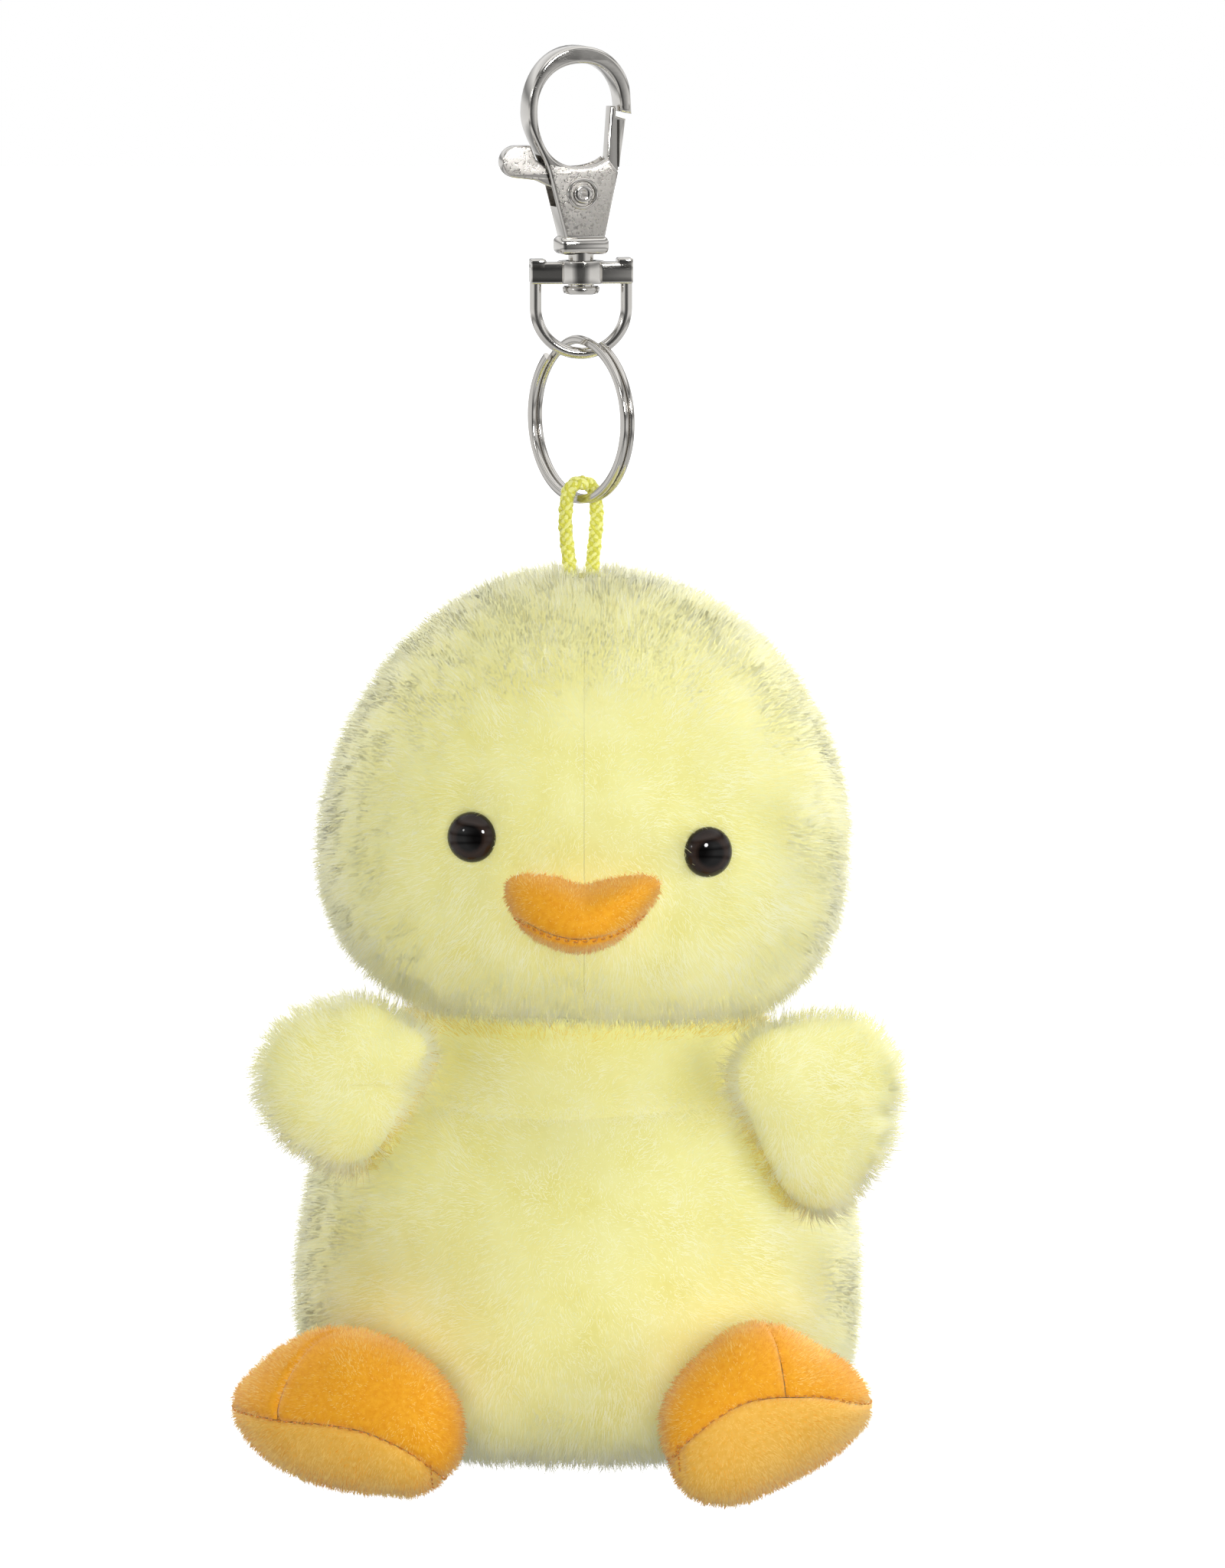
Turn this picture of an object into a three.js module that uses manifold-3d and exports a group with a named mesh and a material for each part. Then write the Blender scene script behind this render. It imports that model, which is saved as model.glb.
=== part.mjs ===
// Plush duckling keychain: a trigger clasp with a swivel shackle, a split ring, a cord loop and a
// sewn, stuffed duckling. Millimetres, +Z up. The origin is the highest point inside the clasp's
// hook, where the keychain hangs. The duckling looks along -Y.
import * as THREE from 'three';
import { mergeVertices } from 'three/addons/utils/BufferGeometryUtils.js';
import Module from 'manifold-3d';

const wasm = await Module();
wasm.setup();
const rad = THREE.MathUtils.degToRad;

// ---------------------------------------------------------------- driving dimensions
const GAP = 0.3; // left between pieces that rest on each other or are sewn together
const FILL_GAP = 0.5; // left between a fabric and its filling
const FAR = 200; // long enough to pass through any piece

// Trigger clasp, in a frame of its own: x to the right, z up, its flat faces at -y and +y
const CLASP_YAW = rad(16.5);
const CLASP_DEPTH = 4;
const PLATE = 0.7; // thickness of the housing's front and rear walls
const EDGE = 0.3; // chamfer on the castings' edges
const PIVOT = { x: -0.4, z: -15.7 };
const RIVET_RADIUS = 0.8;
const BOSS_RADIUS = 1.95;
const COLLAR = { width: 6, height: 2.2, top: -20.9, depth: 4.2 };
const POST_RADIUS = 1.55;
const POST_HEAD = { radius: 2.25, top: -26.95, height: 1 };
const SPRING = { x: -0.95, radius: 0.9, wire: 0.3, bottom: -19.25, height: 1.35, turns: 2.5 };

// Swivel shackle
const SHACKLE_YAW = rad(6);
const SHACKLE = { halfWidth: 5.5, wire: 0.72, barTop: -24.05, barHeight: 2.6, barDepth: 3 };
const SHACKLE_BEND_Z = -29.6; // where the straight legs meet the round bottom
const SWIVEL_BOSS_RADIUS = 2.85;

// Split ring: two turns of flat wire, hanging in the shackle's round bottom
const RING_TURN = rad(-54.5); // the ring's plane, turned from the duckling's own
const RING = { outer: 10.2, radial: 1.1, axial: 0.75, pitch: 0.95 };
const RING_CLEAR = 0.4; // between the ring's inside and the shackle's wire
const RING_CROSSOVER = { centre: rad(100), width: rad(50) };

// Cord loop
const CORD_RADIUS = 0.85;
const CORD_SIDES = 8;
const CORD_STEPS = 26;
const KNOT = { radius: 1.8, z: -69.1 };

// Duckling: a round form has its own reach in each direction. A flat form has an outline seen from
// the front, as its reach at even steps from +x by way of +z, and a slant, which carries it back
// as it goes sideways (x) or up (z).
const FABRIC = 1.8; // backing and pile together
const LAYER = FABRIC + FILL_GAP; // from the outside of the fabric to the filling
const HEAD = {
  centre: [0.4, 0, -94.3], roll: rad(3.7),
  halfWidth: 31.1, front: 28.5, back: 27, up: 32.6, down: 22.4,
  plan: 2.2, upPower: 2, downPower: 2.6,
};
const TORSO = {
  centre: [-0.3, 1.5, -149],
  halfWidth: 33.2, front: 28.5, back: 27, up: 36, down: 20.6,
  plan: 2.2, upPower: 2.3, downPower: 2.9,
};
const SHOULDER_Z = -118; // the torso's flat top, under the head
const SEAT_Z = -168.8; // the flat that the duckling sits on
const CROWN_HOLE_RADIUS = 3.4;
const POCKET = { radius: 4.7, bottom: -72 }; // room in the filling for the cord's ends and knot
const EYE = { x: 0.55, halfSpacing: 13.9, z: 2.1, radius: 3.05, rise: 2, shank: 1, length: 6 };
const WASHER = { radius: 2.8, thickness: 0.8 };
const BILL = {
  x: 0.37, y: -27.5, z: -5.8, front: 9, back: 9, power: 2.2, slant: { x: 0, z: 0.45 },
  outline: [7.7, 10, 6.3, 4.2, 3.6, 4.2, 6.6, 10.1, 8.9, 7.2, 5.8, 5.1, 4.8, 4.8, 5.2, 6],
};
const BILL_FABRIC = 1;
const WING_FABRIC = 1.3;
const WINGS = [
  {
    side: 'left', centre: [-29.6, -16.2, -121.8],
    form: {
      front: 4.4, back: 4.2, power: 2.3, slant: { x: -0.14, z: 0 },
      outline: [
        9.6, 12.6, 11.3, 10.9, 9.6, 9, 9.1, 9.1, 9.2, 8.9, 9.2, 9.2, 10.4, 10.5, 9.4, 8.8,
      ],
    },
  },
  {
    side: 'right', centre: [29.3, -17.4, -125.4],
    form: {
      front: 4.4, back: 4.2, power: 2.3, slant: { x: 0.14, z: 0 },
      outline: [
        8.2, 9.7, 11.1, 12.1, 11.7, 12, 13, 11.9, 9.6, 8.9, 9.6, 11.3, 12.3, 10, 9, 8.5,
      ],
    },
  },
];
const FOOT_FABRIC = 1.2;
// The perimeter seam is tilted, and its height is where it crosses the foot's middle. The panels of
// the upper meet at toeSeam.
const FEET = [
  {
    side: 'left', centre: [-28.1, -27.2, -160.2],
    seam: { tilt: rad(11), height: -3.2 }, toeSeam: -5.5,
    form: {
      front: 11, back: 9, power: 2.1, slant: { x: -0.445, z: 0 },
      outline: [
        14, 12.4, 10.9, 10.1, 10, 10.2, 10.6, 11.9, 13.9, 12.5, 10.8, 9.8, 9.8, 10.8, 13.5, 14.7,
      ],
    },
  },
  {
    side: 'right', centre: [22.2, -29.8, -160.1],
    seam: { tilt: rad(-3), height: 1.5 }, toeSeam: 2.5,
    form: {
      front: 11, back: 9, power: 2.1, slant: { x: 0.445, z: 0 },
      outline: [
        12.9, 11.5, 10, 9.9, 10.8, 11, 10.7, 11.6, 12.8, 13, 13.5, 12, 9.9, 9.1, 9.5, 11,
      ],
    },
  },
];
const TAIL = {
  centre: [-0.3, 31.6, -153], tilt: rad(28),
  halfWidth: 5.2, front: 3, back: 7.5, up: 3.6, down: 3.6,
  plan: 1.8, upPower: 2, downPower: 2,
};

// ---------------------------------------------------------------- materials
const nickel = new THREE.MeshStandardMaterial({ color: 0xc9c9c6, roughness: 0.22, metalness: 1 });
const steel = new THREE.MeshStandardMaterial({ color: 0xb8b8b6, roughness: 0.3, metalness: 1 });
const cordYarn = new THREE.MeshStandardMaterial({ color: 0xd9d846, roughness: 0.75 });
const plush = new THREE.MeshStandardMaterial({ color: 0xece99f, roughness: 0.95 });
const velour = new THREE.MeshStandardMaterial({ color: 0xeca13a, roughness: 0.9 });
const fibre = new THREE.MeshStandardMaterial({ color: 0xf4f3ee, roughness: 1 });
const eyePlastic = new THREE.MeshStandardMaterial({ color: 0x17120f, roughness: 0.08 });
const washerPlastic = new THREE.MeshStandardMaterial({ color: 0xe6e6e2, roughness: 0.5 });

// ---------------------------------------------------------------- solids
function toSolid(geometry) {
  const bare = geometry.clone();
  bare.deleteAttribute('normal');
  bare.deleteAttribute('uv');
  const merged = mergeVertices(bare, 1e-4);
  const vertProperties = new Float32Array(merged.attributes.position.array);
  const triVerts = new Uint32Array(merged.index.array);
  return new wasm.Manifold(new wasm.Mesh({ numProp: 3, vertProperties, triVerts }));
}

function toGeometry(solid) {
  const { vertProperties, triVerts } = solid.getMesh();
  const geometry = new THREE.BufferGeometry();
  geometry.setAttribute('position', new THREE.BufferAttribute(vertProperties, 3));
  geometry.setIndex(new THREE.BufferAttribute(triVerts, 1));
  return geometry;
}

function joined(...geometries) {
  return geometries.map(toSolid).reduce((whole, piece) => whole.add(piece));
}

function cutBy(solid, ...tools) {
  return tools.reduce((rest, tool) => rest.subtract(toSolid(tool)), solid);
}

function box(low, high) {
  const size = high.map((h, i) => h - low[i]);
  const middle = high.map((h, i) => (h + low[i]) / 2);
  return new THREE.BoxGeometry(...size).translate(...middle);
}

// A cylinder from z = low to z = high around the z axis
function rod(radius, low, high, sides = 16) {
  const cylinder = new THREE.CylinderGeometry(radius, radius, high - low, sides);
  return cylinder.rotateX(Math.PI / 2).translate(0, 0, (low + high) / 2);
}

// A cylinder along y around the clasp's pivot
function crossRod(radius, low, high, sides = 14) {
  const cylinder = new THREE.CylinderGeometry(radius, radius, high - low, sides);
  return cylinder.translate(PIVOT.x, (low + high) / 2, PIVOT.z);
}

// An outline in x and z, given depth along y, centred on y = 0
function slab(shape, depth, edge = 0, curveSegments = 7) {
  const settings = {
    depth: depth - 2 * edge, curveSegments, bevelEnabled: edge > 0,
    bevelThickness: edge, bevelSize: edge, bevelOffset: -edge, bevelSegments: 1,
  };
  const plate = new THREE.ExtrudeGeometry(shape, settings);
  return plate.rotateX(Math.PI / 2).translate(0, depth / 2 - edge, 0);
}

function outline(points) {
  return new THREE.Shape(points.map(([x, z]) => new THREE.Vector2(x, z)));
}

function tube(path, section, steps) {
  return new THREE.ExtrudeGeometry(section, { extrudePath: path, steps, bevelEnabled: false });
}

function polygonSection(radiusX, radiusY, sides) {
  const points = [];
  for (let i = 0; i < sides; i += 1) {
    const angle = ((i + 0.5) / sides) * Math.PI * 2;
    points.push(new THREE.Vector2(radiusX * Math.cos(angle), radiusY * Math.sin(angle)));
  }
  return new THREE.Shape(points);
}

// A round stuffed form: it reaches halfWidth to each side, front and back along y, and up and down
// along z. The powers make it boxier than an ellipsoid, whose powers are 2.
function roundForm(form, inset, around, rings) {
  const sphere = new THREE.SphereGeometry(1, around, rings).rotateX(Math.PI / 2);
  const position = sphere.attributes.position;
  for (let i = 0; i < position.count; i += 1) {
    const [x, y, z] = [position.getX(i), position.getY(i), position.getZ(i)];
    const reachY = (y < 0 ? form.front : form.back) - inset;
    const reachZ = (z < 0 ? form.down : form.up) - inset;
    const power = z < 0 ? form.downPower : form.upPower;
    const acrossX = (Math.abs(x) / (form.halfWidth - inset)) ** form.plan;
    const acrossY = (Math.abs(y) / reachY) ** form.plan;
    const across = (acrossX + acrossY) ** (power / form.plan);
    const radius = (across + (Math.abs(z) / reachZ) ** power) ** (-1 / power);
    position.setXYZ(i, x * radius, y * radius, z * radius);
  }
  return sphere;
}

// The reach of an outline at an angle, on a smooth curve through its steps
function outlineReach(outline, angle) {
  const count = outline.length;
  const place = ((angle / (2 * Math.PI)) * count + count) % count;
  const first = Math.floor(place);
  const t = place - first;
  const [a, b, c, d] = [-1, 0, 1, 2].map((k) => outline[(first + k + count) % count]);
  const square = 2 * a - 5 * b + 4 * c - d;
  const cube = 3 * b - a - 3 * c + d;
  return (2 * b + (c - a) * t + square * t ** 2 + cube * t ** 3) / 2;
}

// A flat stuffed form: it bulges to the front and back of its outline
function flatForm(form, inset, around, rings) {
  const sphere = new THREE.SphereGeometry(1, around, rings);
  const position = sphere.attributes.position;
  for (let i = 0; i < position.count; i += 1) {
    const [x, y, z] = [position.getX(i), position.getY(i), position.getZ(i)];
    const outward = Math.hypot(x, z);
    const reach = outlineReach(form.outline, Math.atan2(z, x)) - inset;
    const across = outward > 1e-9 ? (reach * outward ** (2 / form.power)) / outward : 0;
    const depth = ((y < 0 ? form.front : form.back) - inset) * Math.abs(y) ** (2 / form.power);
    const [left, up] = [x * across, z * across];
    const slant = form.slant.x * left + form.slant.z * up;
    position.setXYZ(i, left, Math.sign(y) * depth + slant, up);
  }
  return sphere;
}

function stuffed(form, inset = 0, around = 16, rings = 10) {
  return (form.outline ? flatForm : roundForm)(form, inset, around, rings);
}

// How far forward the form's outside is at a place on its front
function frontY(form, x, z) {
  const power = z < 0 ? form.downPower : form.upPower;
  const height = (Math.abs(z) / (z < 0 ? form.down : form.up)) ** power;
  const across = (1 - height) ** (form.plan / power) - (Math.abs(x) / form.halfWidth) ** form.plan;
  return -form.front * across ** (1 / form.plan);
}

// The fabric over a stuffed form, as a closed shell
function fabricShell(form, thickness, around, rings) {
  return toSolid(stuffed(form, 0, around, rings)).subtract(
    toSolid(stuffed(form, thickness, around, rings)),
  );
}

// The part of a shell on one side of each named plane, half a seam gap away from it. The planes may
// be moved along their axes, and tilted about y.
function panel(shell, sides, tilt = 0) {
  const low = [-FAR, -FAR, -FAR];
  const high = [FAR, FAR, FAR];
  for (const [axis, sign, place = 0] of sides) {
    const index = 'xyz'.indexOf(axis);
    (sign > 0 ? low : high)[index] = place + (sign * GAP) / 2;
  }
  return shell.intersect(toSolid(box(low, high).rotateY(tilt)));
}

// ---------------------------------------------------------------- scene graph
const duckling = new THREE.Group();

function addGroup(parent, position = [0, 0, 0], turn = [0, 0, 0], order = 'XYZ') {
  const group = new THREE.Group();
  group.position.set(...position);
  group.rotation.set(...turn, order);
  parent.add(group);
  return group;
}

function addPiece(parent, name, shape, material) {
  const geometry = shape.isBufferGeometry ? shape : toGeometry(shape);
  const piece = new THREE.Mesh(geometry, material);
  piece.name = name;
  parent.add(piece);
  return piece;
}

// ---------------------------------------------------------------- trigger clasp
function hookOutline() {
  const shape = new THREE.Shape();
  shape.moveTo(-2.45, -21.2);
  shape.lineTo(-4.45, -13.4);
  shape.bezierCurveTo(-5.2, -10.8, -7.15, -8.6, -7.15, -6);
  shape.bezierCurveTo(-7.15, -1.4, -4.4, 2.1, -0.6, 2.1);
  shape.bezierCurveTo(3.2, 2.1, 5.75, -0.8, 5.75, -4.4);
  shape.lineTo(5.85, -6.2);
  shape.lineTo(4.45, -5.9);
  shape.bezierCurveTo(4.45, -2, 2.5, 0, -0.4, 0);
  shape.bezierCurveTo(-3.8, 0, -5.95, -2.4, -5.95, -5.8);
  shape.bezierCurveTo(-5.95, -9.2, -4.4, -12.5, -0.7, -12.5);
  shape.bezierCurveTo(0.8, -12.5, 2, -12.1, 2.9, -11.4);
  shape.lineTo(4.2, -13.2);
  shape.lineTo(2.5, -21.2);
  return shape;
}

function hookBody() {
  const half = CLASP_DEPTH / 2;
  const cavity = outline([
    [-0.6, -9.8], [9, -9.8], [9, -14.4], [3, -14.4], [1.7, -19.6], [-2.35, -19.6], [-2.9, -17.3],
    [-9, -17.3], [-9, -11.1], [-4.9, -11.1], [-3.5, -12.6], [-0.9, -13.4],
  ]);
  const collar = slab(collarOutline(), COLLAR.depth, 0.5);
  const bossRing = crossRod(BOSS_RADIUS, -half - 0.35, half + 0.35);
  const bossRecess = crossRod(BOSS_RADIUS - 0.45, half, half + 1);
  const bossRecessRear = crossRod(BOSS_RADIUS - 0.45, -half - 1, -half);
  const casting = joined(slab(hookOutline(), CLASP_DEPTH, EDGE), collar, bossRing);
  return cutBy(
    casting,
    slab(cavity, CLASP_DEPTH - 2 * PLATE),
    bossRecess,
    bossRecessRear,
    crossRod(RIVET_RADIUS + GAP, -half - 1, half + 1),
    rod(POST_RADIUS + GAP, COLLAR.top - COLLAR.height - 1, COLLAR.top - 0.2),
  );
}

function collarOutline() {
  const half = COLLAR.width / 2;
  const round = COLLAR.height / 2;
  const shape = new THREE.Shape();
  shape.absarc(half - round, COLLAR.top - round, round, -Math.PI / 2, Math.PI / 2);
  shape.absarc(-half + round, COLLAR.top - round, round, Math.PI / 2, Math.PI * 1.5);
  return shape;
}

// Gate, hub, heel for the spring, and thumb tab, in one lever
function triggerLever() {
  const shape = new THREE.Shape();
  shape.moveTo(3.4, -5.3);
  shape.lineTo(4.1, -5.3);
  shape.lineTo(4.15, -6.5);
  shape.lineTo(5.35, -6.85);
  shape.lineTo(4.5, -13);
  shape.lineTo(2.2, -14.4);
  shape.absarc(PIVOT.x, PIVOT.z, 1.95, rad(20), rad(-95), true);
  shape.lineTo(-2.2, -17.2);
  shape.lineTo(-2.6, -15.6);
  shape.lineTo(-5.8, -14.1);
  shape.absarc(-8.2, -11.85, 1.95, rad(270), rad(90), true);
  shape.lineTo(-6.6, -9.9);
  shape.lineTo(-5.9, -11.6);
  shape.lineTo(-3.6, -13.1);
  shape.lineTo(-1.4, -13.9);
  shape.lineTo(1, -13.9);
  shape.lineTo(2.9, -12.5);
  const plate = slab(shape, CLASP_DEPTH - 2 * PLATE - 2 * GAP, 0.2, 5);
  return cutBy(toSolid(plate), crossRod(RIVET_RADIUS + GAP, -FAR, FAR));
}

// A tubular rivet with a flat rim at each end
function leverRivet() {
  const end = CLASP_DEPTH / 2 + 0.35;
  const rim = end + 0.3;
  const head = RIVET_RADIUS + 0.4;
  const bore = RIVET_RADIUS - 0.4;
  const profile = [
    [bore, -rim], [head, -rim], [head, -end], [RIVET_RADIUS, -end], [RIVET_RADIUS, end],
    [head, end], [head, rim], [bore, rim], [bore, -rim],
  ].map(([r, y]) => new THREE.Vector2(r, y));
  return new THREE.LatheGeometry(profile, 14).translate(PIVOT.x, 0, PIVOT.z);
}

class Helix extends THREE.Curve {
  getPoint(t) {
    const angle = t * SPRING.turns * Math.PI * 2;
    const x = SPRING.x + SPRING.radius * Math.cos(angle);
    return new THREE.Vector3(x, SPRING.radius * Math.sin(angle), SPRING.bottom + t * SPRING.height);
  }
}

function swivelPost() {
  const under = POST_HEAD.top - POST_HEAD.height;
  const profile = [
    [0, under], [POST_HEAD.radius - 0.3, under], [POST_HEAD.radius, under + 0.3],
    [POST_HEAD.radius, POST_HEAD.top], [POST_RADIUS, POST_HEAD.top],
    [POST_RADIUS, COLLAR.top - 0.6], [0, COLLAR.top - 0.6],
  ].map(([r, z]) => new THREE.Vector2(r, z));
  return new THREE.LatheGeometry(profile, 16).rotateX(Math.PI / 2);
}

const clasp = addGroup(duckling, [0, 0, 0], [0, 0, CLASP_YAW]);
addPiece(clasp, 'hook_body', hookBody(), nickel);
addPiece(clasp, 'trigger_lever', triggerLever(), nickel);
addPiece(clasp, 'lever_rivet', leverRivet(), nickel);
const springWire = polygonSection(SPRING.wire / 2, SPRING.wire / 2, 5);
addPiece(clasp, 'trigger_spring', tube(new Helix(), springWire, 24), steel);
addPiece(clasp, 'swivel_post', swivelPost(), nickel);

// ---------------------------------------------------------------- swivel shackle
class ShackleBend extends THREE.Curve {
  getPoint(t) {
    const legTop = SHACKLE.barTop - SHACKLE.barHeight / 2;
    const leg = legTop - SHACKLE_BEND_Z;
    const bend = Math.PI * SHACKLE.halfWidth;
    const along = t * (2 * leg + bend);
    if (along < leg) return new THREE.Vector3(-SHACKLE.halfWidth, 0, legTop - along);
    if (along > leg + bend) {
      return new THREE.Vector3(SHACKLE.halfWidth, 0, SHACKLE_BEND_Z + along - leg - bend);
    }
    const angle = (along - leg) / SHACKLE.halfWidth;
    const x = -SHACKLE.halfWidth * Math.cos(angle);
    return new THREE.Vector3(x, 0, SHACKLE_BEND_Z - SHACKLE.halfWidth * Math.sin(angle));
  }
}

function swivelShackle() {
  const { halfWidth, wire, barTop, barHeight, barDepth } = SHACKLE;
  const end = halfWidth + wire;
  const bar = box([-end, -barDepth / 2, barTop - barHeight], [end, barDepth / 2, barTop]);
  const ears = [-1, 1].map((side) => {
    const inner = side * (end - 1.9);
    const outer = side * end;
    const low = [Math.min(inner, outer), -barDepth / 2, barTop - 0.5];
    return box(low, [Math.max(inner, outer), barDepth / 2, barTop + 0.4]);
  });
  const boss = rod(SWIVEL_BOSS_RADIUS, barTop - barHeight, barTop + 0.15);
  const legs = tube(new ShackleBend(), polygonSection(wire, wire, 8), 26);
  const whole = joined(legs, bar, ...ears, boss);
  return cutBy(whole, rod(POST_RADIUS + GAP, barTop - barHeight - 1, barTop + 1));
}

const shackle = addGroup(duckling, [0, 0, 0], [0, 0, SHACKLE_YAW]);
addPiece(shackle, 'swivel_shackle', swivelShackle(), nickel);

// ---------------------------------------------------------------- split ring
// The wire lies in one level for most of a turn, crosses over, and lies in the other level
class SplitRingWire extends THREE.Curve {
  getPoint(t) {
    const { centre, width } = RING_CROSSOVER;
    const clear = rad(6);
    const start = centre + width / 2 + clear;
    const sweep = 4 * Math.PI - width - 2 * clear;
    const angle = start + t * sweep;
    const crossing = centre + 2 * Math.PI;
    const share = THREE.MathUtils.smoothstep(angle, crossing - width / 2, crossing + width / 2);
    const middle = RING.outer - RING.radial / 2;
    return new THREE.Vector3(
      middle * Math.cos(angle),
      RING.pitch * (share - 0.5),
      middle * Math.sin(angle),
    );
  }
}

// Sweeps a four-cornered section, held square to the ring, along the wire's two turns
function splitRing(steps = 64) {
  const wire = new SplitRingWire();
  const chamfer = 0.22;
  const [r, a] = [RING.radial / 2, RING.axial / 2];
  const section = [
    [r, a - chamfer], [r - chamfer, a], [chamfer - r, a], [-r, a - chamfer],
    [-r, chamfer - a], [chamfer - r, -a], [r - chamfer, -a], [r, chamfer - a],
  ];
  const positions = [];
  const index = [];
  for (let i = 0; i <= steps; i += 1) {
    const point = wire.getPoint(i / steps);
    const outward = new THREE.Vector3(point.x, 0, point.z).normalize();
    for (const [radial, axial] of section) {
      const corner = point.clone().addScaledVector(outward, radial);
      positions.push(corner.x, corner.y + axial, corner.z);
    }
  }
  const count = section.length;
  for (let i = 0; i < steps; i += 1) {
    for (let j = 0; j < count; j += 1) {
      const [p, q] = [i * count + j, i * count + ((j + 1) % count)];
      index.push(p, q, p + count, q, q + count, p + count);
    }
  }
  for (let j = 1; j < count - 1; j += 1) {
    const last = steps * count;
    index.push(0, j + 1, j, last, last + j, last + j + 1);
  }
  const geometry = new THREE.BufferGeometry();
  geometry.setAttribute('position', new THREE.Float32BufferAttribute(positions, 3));
  geometry.setIndex(index);
  return geometry;
}

const shackleWireZ = SHACKLE_BEND_Z - SHACKLE.halfWidth;
const ringTopInside = shackleWireZ + SHACKLE.wire + RING_CLEAR;
const ringCentreZ = ringTopInside - (RING.outer - RING.radial);
const ringGroup = addGroup(duckling, [0, 0, ringCentreZ], [0, 0, RING_TURN]);
addPiece(ringGroup, 'split_ring', splitRing(), steel);

// ---------------------------------------------------------------- cord loop
// The cord's strands stand side by side across the ring: s is the distance along that line
const acrossRing = new THREE.Vector2(-Math.sin(RING_TURN), Math.cos(RING_TURN));
const cordRoute = [
  [-1.45, -66], [-1.5, -64], [-1.6, -62], [-1.8, -60], [-2.15, -57.5], [-2.3, -55.2],
  [-2.15, -53.1], [-1.6, -51.35], [0, -50.75], [1.6, -51.35], [2.15, -53.1], [2.3, -55.2],
  [2.15, -57.5], [1.8, -60], [1.6, -62], [1.5, -64], [1.45, -66],
];
const cordPath = new THREE.CatmullRomCurve3(
  cordRoute.map(([s, z]) => new THREE.Vector3(s * acrossRing.x, s * acrossRing.y, z)),
);
const cordSection = polygonSection(CORD_RADIUS, CORD_RADIUS, CORD_SIDES);
addPiece(duckling, 'cord_loop', tube(cordPath, cordSection, CORD_STEPS), cordYarn);
const knot = new THREE.SphereGeometry(KNOT.radius, 10, 6).translate(0, 0, KNOT.z);
addPiece(duckling, 'cord_knot', knot, cordYarn);

// ---------------------------------------------------------------- head
const head = addGroup(duckling, HEAD.centre, [0, HEAD.roll, 0]);

function eyeFrames() {
  return [-1, 1].map((side) => {
    const x = EYE.x + side * EYE.halfSpacing;
    const y = frontY(HEAD, x, EYE.z);
    // The surface's slope, for the direction that the eye looks in
    const step = 0.5;
    const slopeX = (frontY(HEAD, x + step, EYE.z) - frontY(HEAD, x - step, EYE.z)) / (2 * step);
    const outward = new THREE.Vector3(slopeX, -1, 0).normalize();
    return { side, position: new THREE.Vector3(x, y, EYE.z), outward };
  });
}

// Moves a piece made along +z, from the fabric outward, to an eye's place
function atEye(geometry, { position, outward }) {
  const turn = new THREE.Quaternion();
  turn.setFromUnitVectors(new THREE.Vector3(0, 0, 1), outward);
  return geometry.applyQuaternion(turn).translate(position.x, position.y, position.z);
}

function eyeGeometry() {
  const back = GAP + 0.05;
  const profile = [[0, -EYE.length], [EYE.shank, -EYE.length], [EYE.shank, back]];
  profile.push([EYE.radius - 0.3, back]);
  for (let i = 0; i <= 5; i += 1) {
    const angle = (i / 5) * (Math.PI / 2);
    profile.push([EYE.radius * Math.cos(angle), back + 0.3 + EYE.rise * Math.sin(angle)]);
  }
  const points = profile.map(([r, z]) => new THREE.Vector2(Math.max(r, 0), z));
  points[points.length - 1].x = 0;
  return new THREE.LatheGeometry(points, 16).rotateX(Math.PI / 2);
}

function washerGeometry() {
  const high = -LAYER - 0.9;
  const low = high - WASHER.thickness;
  const disc = toSolid(rod(WASHER.radius, low, high, 14));
  return toGeometry(cutBy(disc, rod(EYE.shank + GAP, -FAR, FAR, 10)));
}

head.updateMatrix();
const intoHead = head.matrix.clone().invert();
const crownHole = rod(CROWN_HOLE_RADIUS, POCKET.bottom, FAR).applyMatrix4(intoHead);
const crownPocket = rod(POCKET.radius, POCKET.bottom, FAR).applyMatrix4(intoHead);
const eyes = eyeFrames();
const eyeHoles = eyes.map((eye) => atEye(rod(EYE.shank + GAP, -FABRIC - 2, 2, 10), eye));
const eyePockets = eyes.map((eye) => atEye(rod(WASHER.radius + 0.4, -EYE.length - 0.5, 2, 12), eye));
const headShell = cutBy(fabricShell(HEAD, FABRIC, 20, 12), crownHole, ...eyeHoles);
const headQuarters = {
  head_panel_front_left: [['x', -1], ['y', -1]],
  head_panel_front_right: [['x', 1], ['y', -1]],
  head_panel_back_left: [['x', -1], ['y', 1]],
  head_panel_back_right: [['x', 1], ['y', 1]],
};
for (const [name, sides] of Object.entries(headQuarters)) {
  addPiece(head, name, panel(headShell, sides), plush);
}
const headFilling = cutBy(toSolid(stuffed(HEAD, LAYER, 20, 12)), crownPocket, ...eyePockets);
addPiece(head, 'head_stuffing', headFilling, fibre);
for (const eye of eyes) {
  const side = eye.side < 0 ? 'left' : 'right';
  addPiece(head, `eye_${side}`, atEye(eyeGeometry(), eye), eyePlastic);
  addPiece(head, `eye_washer_${side}`, atEye(washerGeometry(), eye), washerPlastic);
}

// ---------------------------------------------------------------- bill
function placedBill(solid) {
  const place = new THREE.Group();
  place.position.set(BILL.x, BILL.y, BILL.z);
  place.rotation.set(0, -HEAD.roll, 0);
  place.updateMatrix();
  return toGeometry(solid).applyMatrix4(place.matrix);
}

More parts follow.
